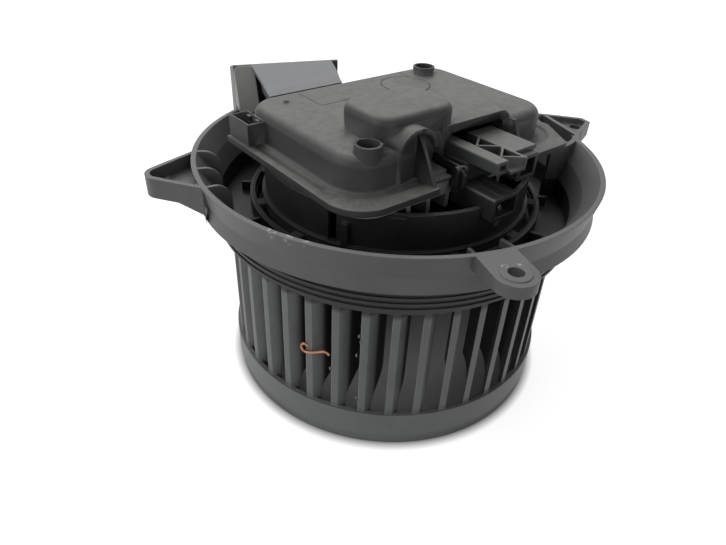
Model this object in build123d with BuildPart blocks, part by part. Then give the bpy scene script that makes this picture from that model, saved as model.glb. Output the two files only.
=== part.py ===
"""Cabin blower motor: mounting dish, electronically driven motor, control unit and fan wheel.

Millimetres, +Z up. The origin lies on the motor axis, in the plane of the dish's seat on its
housing. +X runs to the right-hand screw ear and -Y to the front one. The fan wheel hangs below
the dish and the control unit sits on top, turned about the axis by CONTROL_TURN.
"""
import os
from math import cos, radians, sin

from build123d import *

os.makedirs("parts", exist_ok=True)

# Fan wheel
WHEEL_BAND_R = 75.0
WHEEL_HEIGHT = 73.0
WHEEL_TO_SEAT = 16.0
BAND_HEIGHT = 17.3
BAND_WALL = 2.4
BAND_STEP_HEIGHT = 4.1
BAND_STEP = 0.7
BLADE_COUNT = 40
BLADE_START = 6.0
BLADE_TIP_INSET = 1.3
BLADE_DEPTH = 13.6
BLADE_SWEEP = 6.7
BLADE_MID_SWEEP = 5.9
BLADE_TIP_THICKNESS = 3.0
BLADE_MID_THICKNESS = 2.0
BLADE_ROOT_THICKNESS = 1.2
BLADE_FOOT_DEPTH = 3.2
BLADE_FOOT_RISE = 15.0
TOP_RING_THICKNESS = 2.4
DOME_WALL = 2.0
DOME_GAP = 3.0
HUB_R = 11.0
HUB_LENGTH = 17.0
CLIP_ANGLE = -138.5
CLIP_TURN = 6.9
CLIP_LENGTH = 10.4
CLIP_Z = -45.3
CLIP_SLOPE = 25.0
CLIP_HEIGHT = 1.7
CLIP_THICKNESS = 0.5
CLIP_HOOK = 3.0
CLIP_HOOK_HEIGHT = 3.6

# Mounting dish
RIM_R = 87.1
RIM_HEIGHT = 15.3
DISH_WALL = 2.0
CREASE_R = 84.9
CREASE_HEIGHT = 6.0
SEAT_R = 86.0
FUNNEL_R = 79.6
FUNNEL_HEIGHT = 8.0
SPIGOT_R = 78.5
SPIGOT_DEPTH = 13.5
SPIGOT_LAND = 6.0
SPIGOT_GROOVE = 0.8
SPIGOT_GROOVE_COUNT = 3
SPIGOT_GROOVE_PITCH = 2.5
DISH_FLOOR = -9.0
COLLAR_R = 64.3
COLLAR_WALL = 1.5
COLLAR_TOP = -2.5
COLLAR_LEDGE = 3.0
FLOOR_RIB_COUNT = 12
FLOOR_RIB_LENGTH = 5.0
FLOOR_RIB_HEIGHT = 4.5
FLOOR_RIB_START = 9.0
RIB_THICKNESS = 1.4
RIM_RIB_PITCH = 11.5
RIM_RIB_REACH = 3.0
CHANNEL_RIB_ANGLES = (-87.0, -73.6)
CHANNEL_RIB_TOP = 3.0

# Screw ears
EAR_HOLE_R = 2.75
EAR_PITCH_R = 98.5
EAR_WALL = 2.0
LEFT_EAR_TIP_R = 6.3
LEFT_EAR_HALF_WIDTH = 17.4
LEFT_EAR_FLOOR = 9.5
LEFT_EAR_UNDERSIDE = 7.0
LEFT_EAR_ROOT_UNDERSIDE = 3.5
LEFT_EAR_FLAT = 4.5
RIGHT_EAR_HOLE = (12.2, 8.5)
RIGHT_EAR_CORNERS = [(-2.1, -14.1), (4.3, -4.5), (8.7, -1.7), (19.0, 6.7), (18.4, 12.5), (7.6, 19.3), (-4.1, 26.0)]
RIGHT_EAR_UNDERSIDE = 8.5
RIGHT_EAR_FLOOR = 12.6
RIGHT_WALL_X = 3.0
RIGHT_WALL_BEND = (-3.2, -12.4)
RIGHT_WALL_END = (-14.0, -17.6)
RIGHT_WALL_TAIL = (-18.5, -16.4)
FRONT_EAR_END_R = 7.6
FRONT_EAR_UNDERSIDE = 10.6
FRONT_EAR_ROOT_UNDERSIDE = 8.7
FRONT_EAR_FLAT = 6.5
EAR_RING_R = 5.2
EAR_RING_HEIGHT = 0.35

# Cooling duct on the dish
DUCT_LEFT_X = -58.5
DUCT_RIGHT_X = -6.0
DUCT_FRONT_Y = 69.5
DUCT_DEPTH = 12.0
DUCT_TOP = 34.0
DUCT_BACK_TOP = 30.5
DUCT_WALL = 1.8
DUCT_MOUTH_LEFT_X = -45.0
DUCT_MOUTH_SILL = 18.0
DUCT_ROOF_LEFT_X = -49.8
DUCT_ROOF_RIGHT_X = -9.0
DUCT_ROOF_TAPER = 4.5
DUCT_ROOF_THICKNESS = 1.6
DUCT_ROOF_BEND = 6.0
DUCT_ROOF_DROP = 1.0
DUCT_SIDE_INSET = 3.5
DUCT_SIDE_WALL = 1.6
ROOF_FRONT_REACH = 40.5
ROOF_BEND_REACH = 52.5

# Motor housing cup
CUP_R = 57.5
CUP_WALL = 2.0
CUP_TOP = 14.0
CUP_FLOOR = -7.0
CUP_LIP = 1.5
CUP_LIP_THICKNESS = 1.3
SCREW_BOSS_R = 4.0
HOUSING_SCREW_COUNT = 4
HOUSING_SCREW_R = 1.4
HOUSING_SCREW_LENGTH = 14.0
GUIDE_POST_COUNT = 3
GUIDE_POST_ANGLE = -130.5
GUIDE_POST_WIDTH = 2.6
GUIDE_POST_TOP = 8.3
GUIDE_SLOT_ANGLE = -136.0
GUIDE_SLOT_WIDTH = 3.6
CUP_NOTCH_DEPTH = 1.3
CUP_NOTCH_TURN = 17.5
CUP_NOTCH_SPAN = 33.0
ISOLATOR_WALL = 1.4
ISOLATOR_WEB = 2.0
ISOLATOR_SLOT_COUNT = 12
ISOLATOR_SPOKE = 5.0

# Motor
SHAFT_R = 4.0
SHAFT_TOP = 13.0
SHAFT_TAIL = 4.0
BEARING_R = 11.0
BEARING_WIDTH = 7.0
BEARING_RECESS = 0.6
BEARING_RACE = 1.8
TUBE_WALL = 2.5
TUBE_BOTTOM = -28.0
TUBE_FLANGE_R = 20.0
TUBE_FLANGE = 3.0
TUBE_SHOULDER = 1.5
TUBE_LIP = 1.0
TUBE_CLEARANCE = 2.5
CORE_R = 33.6
CORE_HEIGHT = 18.0
CORE_BOTTOM = -22.0
CORE_YOKE_R = 19.0
TOOTH_COUNT = 12
TOOTH_WIDTH = 5.0
SHOE_WIDTH = 13.0
SHOE_DEPTH = 2.6
COIL_BUILD = 1.6
COIL_CLEARANCE = 2.2
COIL_EDGE_R = 1.4
AIR_GAP = 0.8
MAGNET_THICKNESS = 3.0
MAGNET_COUNT = 10
MAGNET_GAP = 2.0
ROTOR_WALL = 1.6
ROTOR_TOP = 0.5
ROTOR_BOTTOM = -32.0
ROTOR_VENT_COUNT = 6
ROTOR_VENT_R = 4.0
CIRCLIP_R = 6.2
CIRCLIP_THICKNESS = 1.0
CIRCLIP_GROOVE = 0.5
CIRCLIP_SETBACK = 2.0

# Control unit
CONTROL_TURN = 19.4
PLATE_HALF_X = 54.0
PLATE_HALF_Y = 41.0
PLATE_CORNER_R = 12.0
PLATE_THICKNESS = 3.0
PLATE_RIM_WIDTH = 3.0
FIN_FIELD_R = 51.0
FIN_COUNT = 9
FIN_PITCH = 10.0
FIN_THICKNESS = 1.8
FIN_HEIGHT = 6.0
BODY_HALF_X = 53.3
BODY_HALF_Y = 37.5
BODY_TOP = 35.0
BODY_CORNER_R = 13.0
BODY_EDGE_R = 4.2
COVER_WALL = 2.0
FLANGE_HALF_X = 62.8
FLANGE_HALF_Y = 49.3
FLANGE_TOP = 23.0
FLANGE_THICKNESS = 2.4
FLANGE_CORNER_R = 14.5
FLANGE_CHAMFER_X = 11.1
FLANGE_CHAMFER_Y = 18.3
GROOVE_GAP = 1.6
GROOVE_WIDTH = 4.2
GROOVE_DEPTH = 1.3
BLOCK_X = -18.5
BLOCK_Y = -19.0
BLOCK_SIZE_X = 38.0
BLOCK_SIZE_Y = 28.0
BLOCK_TOP = 45.0
BLOCK_CORNER_R = 8.0
BLOCK_EDGE_R = 3.0
BLOCK_BOTTOM = 32.5
COVER_BOSSES = [(-43.0, -31.7), (38.0, 26.5)]
COVER_BOSS_R = 5.1
COVER_BOSS_BORE_R = 3.9
COVER_BOSS_TOP = 38.3
COVER_SCREW_R = 1.6
COVER_SCREW_SEAT = 27.0
COVER_SCREW_GRIP = 4.0
SCREW_HEAD_HEIGHT = 2.4
RECESS_LEFT_X = -25.7
RECESS_RIGHT_X = 27.0
RECESS_BACK_Y = -30.0
ARCH_X = -25.1
ARCH_HALF_WIDTH = 9.6
ARCH_TOP = 41.8
ARCH_BAND = 1.8
ARCH_FRONT_Y = -38.6
ARCH_RIGHT_FOOT = 33.5
WEB_X = -24.4
WEB_THICKNESS = 1.6
WEB_FRONT_Y = -48.0
SIDE_FIN_X = 29.0
SIDE_FIN_TOP = 34.0
SIDE_FIN_FRONT_Y = -43.0
TUNNEL_LEFT_X = -10.0
TUNNEL_RIGHT_X = 24.0
MOUTH_LEFT_X = -7.3
MOUTH_RIGHT_X = 26.3
MOUTH_TOP = 34.3
MOUTH_CORNER_R = 4.0
LIP_WIDTH = 3.4
LIP_FRONT_Y = -34.0
CLIP_BOX_WIDTH = 8.6
CLIP_BOX_LENGTH = 15.0
CLIP_BOX_X = -57.0
CLIP_BOX_Y = 27.2
CLIP_BOX_TOP = 31.5
CLIP_BOX_WALL = 1.2
LABEL_FIELD_X = 58.0
LABEL_FIELD_Y = 21.0
LABEL_FIELD_CENTRE = (-0.5, 25.5)
MARK_DEPTH = 0.4
MARK_WIDTH = 0.6
MARK_RING_R = 11.5
MARK_RING_CENTRE = (19.0, 18.0)
PIP_CENTRE = (-39.3, 26.4)
PIP_R = 1.2
PIP_HEIGHT = 0.7

# Electronics
BOARD_LIFT = 4.6
BOARD_THICKNESS = 1.6
BOARD_EDGE_GAP = 1.5
CAPACITOR_COUNT = 2
CAPACITOR_R = 6.2
CAPACITOR_HEIGHT = 17.5
CAPACITOR_EDGE_R = 1.0
CHOKE_R = 9.5
CHOKE_HOLE_R = 4.0
CHOKE_HEIGHT = 8.0
CHOKE_EDGE_R = 2.0
SWITCH_SIZE = 9.0
SWITCH_COUNT = 6
SWITCH_PITCH = 12.0
SWITCH_CENTRE = (-19.0, 23.5)
PHASE_PIN_COUNT = 3
PHASE_PIN_ANGLE = 90.0
PHASE_PIN_R = 1.2
PHASE_PIN_PITCH_R = 25.0

# Connector
HEADER_LEFT_X = -8.0
HEADER_RIGHT_X = 22.0
HEADER_BACK_Y = -31.0
HEADER_STEP_Y = -44.0
HEADER_TOP = 25.0
SHROUD_RIGHT_X = 6.0
SHROUD_FRONT_Y = -62.0
SHROUD_TOP = 19.0
SHROUD_BOTTOM = 9.5
SHROUD_WALL = 1.6
SHROUD_DEPTH = 14.0
SHROUD_EDGE_R = 1.0
SHROUD_GROOVE_COUNT = 2
SHROUD_GROOVE_PITCH = 5.0
SHROUD_GROOVE_WIDTH = 1.2
SHROUD_GROOVE_DEPTH = 0.7
NECK_LENGTH = 4.0
SECOND_LEFT_X = 9.5
SECOND_RIGHT_X = 20.5
SECOND_FRONT_Y = -57.0
SECOND_BOTTOM = 19.5
SECOND_TOP = 29.4
LATCH_LENGTH = 7.0
LATCH_BAR = 1.5
LATCH_CORNER_R = 2.0
PIN_COUNT = 4
PIN_PITCH = 2.8
PIN_WIDTH = 1.2
PIN_SETBACK = 6.0
BAR_LEFT_X = -4.5
BAR_WIDTH = 6.2
BAR_FRONT_Y = -58.0
BAR_BACK_Y = -28.0
BAR_EDGE_R = 0.8
BAR_HEIGHT = 5.0
BAR_WALL = 1.4
TRUSS_THICKNESS = 1.2
TRUSS_COUNT = 2
TRUSS_FRONT_Y = -60.0
TRUSS_BACK_Y = -36.0
GUIDE_FOOT = 1.0
CODE_PLATE_LEFT_X = 8.3
CODE_PLATE_RIGHT_X = 22.0
CODE_PLATE_FRONT_Y = -54.0

# Fits and clearances
SLIP = 0.05
RUNNING = 0.05
EASY = 0.3

# Places that follow from the sizes above
wheel_top = -WHEEL_TO_SEAT
wheel_bottom = wheel_top - WHEEL_HEIGHT
blade_tip_r = WHEEL_BAND_R - BLADE_TIP_INSET
blade_root_r = blade_tip_r - BLADE_DEPTH
plate_top = CUP_TOP + PLATE_THICKNESS
flange_bottom = FLANGE_TOP - FLANGE_THICKNESS
magnet_r = CORE_R + AIR_GAP
rotor_inner_r = magnet_r + MAGNET_THICKNESS + SLIP
rotor_r = rotor_inner_r + ROTOR_WALL
tube_bore_r = BEARING_R + SLIP
tube_r = tube_bore_r + TUBE_WALL
dome_floor = ROTOR_BOTTOM - DOME_GAP - SLIP
hub_bottom = dome_floor - HUB_LENGTH
board_bottom = plate_top + BOARD_LIFT
board_top = board_bottom + BOARD_THICKNESS
header_bottom = plate_top
bar_bottom = HEADER_TOP + GUIDE_FOOT
neck_back_y = HEADER_STEP_Y + NECK_LENGTH
guide_top = bar_bottom + BAR_HEIGHT
turn = radians(CONTROL_TURN)
control = Plane((0, 0, 0), x_dir=(cos(turn), sin(turn), 0), z_dir=(0, 0, 1))


def side_plane(x):
    """Upright plane across the control unit at x: sketch X is the unit's Y, sketch Y is height."""
    return Plane(control.from_local_coords(Vector(x, 0, 0)), x_dir=control.y_dir, z_dir=control.x_dir)


def front_plane(y):
    """Upright plane along the control unit at y, facing the connector side."""
    return Plane(control.from_local_coords(Vector(0, y, 0)), x_dir=control.x_dir, z_dir=-control.y_dir)


def radial_plane(angle):
    """Upright plane through the motor axis: sketch X is the radius, sketch Y is height."""
    a = radians(angle)
    return Plane((0, 0, 0), x_dir=(cos(a), sin(a), 0), z_dir=(sin(a), -cos(a), 0))


def rounded(half_x, half_y, corner, centre=(0, 0)):
    """Rounded rectangle about a centre, as a private sketch."""
    with BuildSketch() as outline:
        with Locations(centre):
            RectangleRounded(2 * half_x, 2 * half_y, corner)
    return outline.sketch


def save(piece, name):
    """Label a finished piece and write its STEP file."""
    piece.part.label = name
    export_step(piece.part, f"parts/{name}.step")


# Fan wheel: inlet band at the bottom, curved blades, and a dome reaching in to the hub
def on_wheel(radius, arc_length):
    """Point of the first blade: a radius, and a length round from the blade's leading tip."""
    a = radians(BLADE_START) + arc_length / radius
    return (radius * cos(a), radius * sin(a))


blade_mid_r = blade_tip_r - BLADE_DEPTH / 2
blade_mid_in = BLADE_MID_SWEEP - BLADE_MID_THICKNESS / 2
blade_mid_out = BLADE_MID_SWEEP + BLADE_MID_THICKNESS / 2
with BuildSketch() as blade_outline:
    with BuildLine():
        ThreePointArc(
            on_wheel(blade_tip_r, 0),
            on_wheel(blade_tip_r, BLADE_TIP_THICKNESS / 2),
            on_wheel(blade_tip_r, BLADE_TIP_THICKNESS),
        )
        ThreePointArc(
            on_wheel(blade_tip_r, BLADE_TIP_THICKNESS),
            on_wheel(blade_mid_r, blade_mid_out),
            on_wheel(blade_root_r, BLADE_SWEEP + BLADE_ROOT_THICKNESS),
        )
        Line(
            on_wheel(blade_root_r, BLADE_SWEEP + BLADE_ROOT_THICKNESS),
            on_wheel(blade_root_r, BLADE_SWEEP),
        )
        ThreePointArc(
            on_wheel(blade_root_r, BLADE_SWEEP),
            on_wheel(blade_mid_r, blade_mid_in),
            on_wheel(blade_tip_r, 0),
        )
    make_face()

dome_shoulder_r = blade_root_r - BLADE_ROOT_THICKNESS
dome_foot_r = rotor_r + DOME_GAP
dome_rise = wheel_top - dome_floor
dome_flare = dome_shoulder_r - dome_foot_r
quarter = 1 - cos(radians(45))
blade_foot_r = blade_tip_r - BLADE_FOOT_DEPTH
blade_foot_z = wheel_bottom + BAND_HEIGHT
with BuildPart() as fan_wheel:
    with BuildSketch(Plane.XY.offset(wheel_bottom + BAND_WALL)):
        with PolarLocations(0, BLADE_COUNT):
            add(blade_outline.sketch)
    extrude(amount=WHEEL_HEIGHT - BAND_WALL - TOP_RING_THICKNESS / 2)
    with BuildSketch(Plane.XZ):
        with BuildLine():
            Line((blade_foot_r, wheel_bottom), (blade_foot_r, blade_foot_z))
            ThreePointArc(
                (blade_foot_r, blade_foot_z),
                (blade_foot_r - BLADE_FOOT_DEPTH, blade_foot_z + BLADE_FOOT_RISE * 2 / 3),
                (blade_root_r, blade_foot_z + BLADE_FOOT_RISE),
            )
            Polyline(
                (blade_root_r, blade_foot_z + BLADE_FOOT_RISE),
                (blade_root_r - BLADE_ROOT_THICKNESS, blade_foot_z + BLADE_FOOT_RISE),
                (blade_root_r - BLADE_ROOT_THICKNESS, wheel_bottom),
                (blade_foot_r, wheel_bottom),
            )
        make_face()
    revolve(axis=Axis.Z, mode=Mode.SUBTRACT)
    with BuildSketch(Plane.XZ):
        with BuildLine():
            Polyline(
                (WHEEL_BAND_R - BAND_STEP, wheel_bottom),
                (WHEEL_BAND_R - BAND_STEP, wheel_bottom + BAND_STEP_HEIGHT),
                (WHEEL_BAND_R, wheel_bottom + BAND_STEP_HEIGHT + BAND_STEP),
                (WHEEL_BAND_R, wheel_bottom + BAND_HEIGHT),
                (WHEEL_BAND_R - BAND_WALL, wheel_bottom + BAND_HEIGHT),
                (WHEEL_BAND_R - BAND_WALL, wheel_bottom),
                close=True,
            )
        make_face()
    revolve(axis=Axis.Z)
    with BuildSketch(Plane.XZ):
        with BuildLine():
            Line((blade_tip_r, wheel_top), (dome_shoulder_r, wheel_top))
            ThreePointArc(
                (dome_shoulder_r, wheel_top),
                (dome_foot_r + quarter * dome_flare, wheel_top - quarter * dome_rise),
                (dome_foot_r, dome_floor),
            )
            Line((dome_foot_r, dome_floor), (SHAFT_R, dome_floor))
            Line((SHAFT_R, dome_floor), (SHAFT_R, hub_bottom))
            Line((SHAFT_R, hub_bottom), (HUB_R, hub_bottom))
            Line((HUB_R, hub_bottom), (HUB_R, dome_floor - DOME_WALL))
            Line((HUB_R, dome_floor - DOME_WALL), (dome_foot_r + DOME_WALL, dome_floor - DOME_WALL))
            ThreePointArc(
                (dome_foot_r + DOME_WALL, dome_floor - DOME_WALL),
                (
                    dome_foot_r + quarter * dome_flare + DOME_WALL * cos(radians(45)),
                    wheel_top - quarter * dome_rise - DOME_WALL * cos(radians(45)),
                ),
                (dome_shoulder_r + DOME_WALL, wheel_top - TOP_RING_THICKNESS),
            )
            Line(
                (dome_shoulder_r + DOME_WALL, wheel_top - TOP_RING_THICKNESS),
                (blade_tip_r, wheel_top - TOP_RING_THICKNESS),
            )
            Line((blade_tip_r, wheel_top - TOP_RING_THICKNESS), (blade_tip_r, wheel_top))
        make_face()
    revolve(axis=Axis.Z)
save(fan_wheel, "fan_wheel")

# Balance clip: a thin copper strip over two blades, with a hook that reaches in beside the first
clip_r = blade_tip_r + SLIP
clip_middle = CLIP_ANGLE + CLIP_TURN / 2
clip_middle_z = CLIP_Z + CLIP_LENGTH * sin(radians(CLIP_SLOPE)) / 2
clip_out = Vector(cos(radians(clip_middle)), sin(radians(clip_middle)), 0)
clip_along = Vector(-clip_out.Y, clip_out.X, 0) * cos(radians(CLIP_SLOPE)) + Vector(0, 0, sin(radians(CLIP_SLOPE)))
with BuildPart() as balance_clip:
    with BuildSketch(Plane(clip_out * clip_r + Vector(0, 0, clip_middle_z), x_dir=clip_along, z_dir=clip_out)):
        Rectangle(CLIP_LENGTH, CLIP_HEIGHT)
    extrude(amount=CLIP_THICKNESS)
    with BuildSketch(Plane.XY.offset(CLIP_Z - CLIP_HOOK_HEIGHT / 2)):
        with PolarLocations(clip_r + CLIP_THICKNESS - CLIP_HOOK / 2, 1, start_angle=CLIP_ANGLE):
            Rectangle(CLIP_HOOK, CLIP_THICKNESS)
    extrude(amount=CLIP_HOOK_HEIGHT)
save(balance_clip, "balance_clip")

# Motor shaft with a groove for its circlip
circlip_z = SHAFT_TOP - CIRCLIP_SETBACK
shaft_bottom = hub_bottom - SHAFT_TAIL
with BuildPart() as motor_shaft:
    with BuildSketch(Plane.XY.offset(shaft_bottom)):
        Circle(SHAFT_R)
    extrude(amount=SHAFT_TOP - shaft_bottom)
    chamfer(motor_shaft.edges().filter_by(GeomType.CIRCLE), CIRCLIP_GROOVE)
    with BuildSketch(Plane.XY.offset(circlip_z)):
        Circle(2 * SHAFT_R)
        Circle(SHAFT_R - CIRCLIP_GROOVE, mode=Mode.SUBTRACT)
    extrude(amount=CIRCLIP_THICKNESS, mode=Mode.SUBTRACT)
save(motor_shaft, "motor_shaft")

# Circlip that keeps the shaft in its upper bearing
with BuildPart() as shaft_circlip:
    with BuildSketch(Plane.XY.offset(circlip_z)):
        Circle(CIRCLIP_R)
        Circle(SHAFT_R - CIRCLIP_GROOVE, mode=Mode.SUBTRACT)
        with Locations((CIRCLIP_R, 0)):
            Rectangle(2 * CIRCLIP_R, SHAFT_R, mode=Mode.SUBTRACT)
    extrude(amount=CIRCLIP_THICKNESS)
save(shaft_circlip, "shaft_circlip")

# Rotor cup: a drawn steel bell pressed on the shaft, with cooling windows in its end
with BuildPart() as rotor_cup:
    with BuildSketch(Plane.XZ):
        with BuildLine():
            Polyline(
                (rotor_inner_r, ROTOR_TOP),
                (rotor_r, ROTOR_TOP),
                (rotor_r, ROTOR_BOTTOM),
                (SHAFT_R, ROTOR_BOTTOM),
                (SHAFT_R, TUBE_BOTTOM - 2 * RUNNING),
                (SHAFT_R + ROTOR_WALL, TUBE_BOTTOM - 2 * RUNNING),
                (SHAFT_R + ROTOR_WALL, ROTOR_BOTTOM + ROTOR_WALL),
                (rotor_inner_r, ROTOR_BOTTOM + ROTOR_WALL),
                close=True,
            )
        make_face()
    revolve(axis=Axis.Z)
    fillet(rotor_cup.faces().sort_by(Axis.Z)[0].outer_wire().edges(), ROTOR_WALL)
    with BuildSketch(Plane.XY.offset(ROTOR_BOTTOM)):
        with PolarLocations((SHAFT_R + rotor_inner_r) / 2, ROTOR_VENT_COUNT):
            Circle(ROTOR_VENT_R)
    extrude(amount=ROTOR_WALL, mode=Mode.SUBTRACT)
save(rotor_cup, "rotor_cup")

# Rotor magnets, bonded round the inside of the bell
with BuildPart() as rotor_magnets:
    with BuildSketch(Plane.XY.offset(CORE_BOTTOM - ROTOR_WALL)):
        Circle(magnet_r + MAGNET_THICKNESS)
        Circle(magnet_r, mode=Mode.SUBTRACT)
        with PolarLocations(magnet_r, MAGNET_COUNT):
            Rectangle(3 * MAGNET_THICKNESS, MAGNET_GAP, mode=Mode.SUBTRACT)
    extrude(amount=CORE_HEIGHT + 2 * ROTOR_WALL)
save(rotor_magnets, "rotor_magnets")

# Stator core: a laminated yoke with outward teeth that end in broad shoes
tooth_middle_r = (CORE_YOKE_R + CORE_R) / 2
shoe_gap = 2 * CORE_R * sin(radians(180 / TOOTH_COUNT)) - SHOE_WIDTH
with BuildSketch() as shoes:
    Circle(CORE_R)
    Circle(CORE_R - SHOE_DEPTH, mode=Mode.SUBTRACT)
    with PolarLocations(CORE_R, TOOTH_COUNT, start_angle=180 / TOOTH_COUNT):
        Rectangle(3 * SHOE_DEPTH, shoe_gap, mode=Mode.SUBTRACT)
with BuildPart() as stator_core:
    with BuildSketch(Plane.XY.offset(CORE_BOTTOM)):
        Circle(CORE_YOKE_R)
        with PolarLocations(tooth_middle_r - SHOE_DEPTH / 2, TOOTH_COUNT):
            Rectangle(CORE_R - CORE_YOKE_R, TOOTH_WIDTH)
        add(shoes.sketch)
        Circle(tube_r + SLIP, mode=Mode.SUBTRACT)
    extrude(amount=CORE_HEIGHT)
save(stator_core, "stator_core")

# Stator coils, one round each tooth
coil_inner_r = CORE_YOKE_R + COIL_CLEARANCE
coil_outer_r = CORE_R - SHOE_DEPTH - EASY
with BuildPart() as stator_coils:
    with BuildSketch(Plane.XY.offset(CORE_BOTTOM - COIL_BUILD - EASY)):
        with PolarLocations((coil_inner_r + coil_outer_r) / 2, TOOTH_COUNT):
            Rectangle(coil_outer_r - coil_inner_r, TOOTH_WIDTH + 2 * COIL_BUILD)
    extrude(amount=CORE_HEIGHT + 2 * COIL_BUILD + 2 * EASY)
    long_edges = stator_coils.edges().filter_by(lambda e: e.length > TOOTH_WIDTH + 2 * COIL_BUILD + SLIP)
    fillet(long_edges.filter_by(Plane.XY), COIL_EDGE_R)
    with BuildSketch(Plane.XY.offset(CORE_BOTTOM - SLIP)):
        with PolarLocations((coil_inner_r + coil_outer_r) / 2, TOOTH_COUNT):
            Rectangle(CORE_R, TOOTH_WIDTH + 2 * SLIP)
    extrude(amount=CORE_HEIGHT + 2 * SLIP, mode=Mode.SUBTRACT)
save(stator_coils, "stator_coils")


# Bearings: shielded ball bearings, one at each end of the tube
def bearing(bottom, name):
    """Shielded bearing ring from its lower face up, with a recess between its two races."""
    with BuildPart() as ring:
        with BuildSketch(Plane.XY.offset(bottom)):
            Circle(BEARING_R)
            Circle(SHAFT_R + RUNNING, mode=Mode.SUBTRACT)
        extrude(amount=BEARING_WIDTH)
        for height, direction in ((bottom, 1), (bottom + BEARING_WIDTH, -1)):
            with BuildSketch(Plane.XY.offset(height)):
                Circle(BEARING_R - BEARING_RACE)
                Circle(SHAFT_R + BEARING_RACE, mode=Mode.SUBTRACT)
            extrude(amount=direction * BEARING_RECESS, mode=Mode.SUBTRACT)
    save(ring, name)


lower_bearing_z = TUBE_BOTTOM + TUBE_LIP
upper_bearing_z = circlip_z - BEARING_WIDTH - 2 * RUNNING
bearing(lower_bearing_z, "lower_bearing")
bearing(upper_bearing_z, "upper_bearing")

# Bearing tube: carries both bearings inside and the stator core outside
with BuildPart() as bearing_tube:
    with BuildSketch(Plane.XY.offset(TUBE_BOTTOM)):
        Circle(tube_r)
    extrude(amount=CUP_TOP - TUBE_BOTTOM)
    with BuildSketch(Plane.XY.offset(CUP_TOP - TUBE_FLANGE)):
        Circle(TUBE_FLANGE_R)
    extrude(amount=TUBE_FLANGE)
    with BuildSketch(Plane.XY.offset(CORE_BOTTOM + CORE_HEIGHT)):
        Circle(tube_r + TUBE_SHOULDER)
    extrude(amount=BEARING_WIDTH)
    with BuildSketch(Plane.XY.offset(TUBE_BOTTOM)):
        Circle(SHAFT_R + TUBE_CLEARANCE)
    extrude(amount=CUP_TOP - TUBE_BOTTOM, mode=Mode.SUBTRACT)
    for low, high in ((TUBE_BOTTOM, lower_bearing_z + BEARING_WIDTH), (upper_bearing_z, CUP_TOP)):
        with BuildSketch(Plane.XY.offset(low)):
            Circle(tube_bore_r)
        extrude(amount=high - low, mode=Mode.SUBTRACT)
save(bearing_tube, "bearing_tube")

# Motor housing: the black cup round the motor, with guide posts and slots on its wall
boss_pitch_r = CUP_R - CUP_WALL - SCREW_BOSS_R + CUP_WALL / 4
housing_screw_spots = PolarLocations(boss_pitch_r, HOUSING_SCREW_COUNT, start_angle=CONTROL_TURN + 45)
with BuildPart() as motor_housing:
    with BuildSketch(Plane.XY.offset(DISH_FLOOR)):
        Circle(CUP_R)
    extrude(amount=CUP_TOP - DISH_FLOOR)
    with BuildSketch(Plane.XY.offset(COLLAR_TOP)):
        Circle(CUP_R + CUP_LIP)
    extrude(amount=CUP_LIP_THICKNESS)
    with BuildSketch(Plane.XY.offset(CUP_FLOOR)):
        Circle(CUP_R - CUP_WALL)
        with housing_screw_spots:
            Circle(SCREW_BOSS_R, mode=Mode.SUBTRACT)
    extrude(amount=CUP_TOP - CUP_FLOOR, mode=Mode.SUBTRACT)
    with BuildSketch(Plane.XY.offset(DISH_FLOOR)):
        Circle(rotor_r + CUP_WALL)
    extrude(amount=-(DISH_FLOOR - CUP_FLOOR), mode=Mode.SUBTRACT)
    with BuildSketch(Plane.XY.offset(COLLAR_TOP)):
        with PolarLocations(CUP_R, GUIDE_POST_COUNT, start_angle=GUIDE_POST_ANGLE):
            Rectangle(2 * CUP_LIP, GUIDE_POST_WIDTH)
    extrude(amount=GUIDE_POST_TOP - COLLAR_TOP)
    with BuildSketch(Plane.XY.offset(COLLAR_TOP + CUP_LIP_THICKNESS)):
        with PolarLocations(CUP_R - CUP_WALL / 2, GUIDE_POST_COUNT, start_angle=GUIDE_SLOT_ANGLE):
            Rectangle(2 * CUP_WALL, GUIDE_SLOT_WIDTH)
    extrude(amount=CUP_TOP, mode=Mode.SUBTRACT)
    with BuildSketch(Plane.XY.offset(CUP_TOP - CUP_NOTCH_DEPTH)):
        with PolarLocations(CUP_R, GUIDE_POST_COUNT, start_angle=GUIDE_SLOT_ANGLE + CUP_NOTCH_TURN):
            Rectangle(CUP_WALL, 2 * CUP_R * sin(radians(CUP_NOTCH_SPAN / 2)))
    extrude(amount=CUP_NOTCH_DEPTH, mode=Mode.SUBTRACT)
    with BuildSketch(Plane.XY.offset(CUP_TOP)):
        with housing_screw_spots:
            Circle(HOUSING_SCREW_R + SLIP)
    extrude(amount=-HOUSING_SCREW_LENGTH, mode=Mode.SUBTRACT)
    with BuildSketch(control.offset(SHROUD_BOTTOM - EASY)):
        with Locations(((HEADER_LEFT_X + SHROUD_RIGHT_X) / 2, -CUP_R)):
            Rectangle(SHROUD_RIGHT_X - HEADER_LEFT_X + 2 * EASY, 4 * CUP_WALL)
    extrude(amount=CUP_TOP, mode=Mode.SUBTRACT)
save(motor_housing, "motor_housing")

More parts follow.
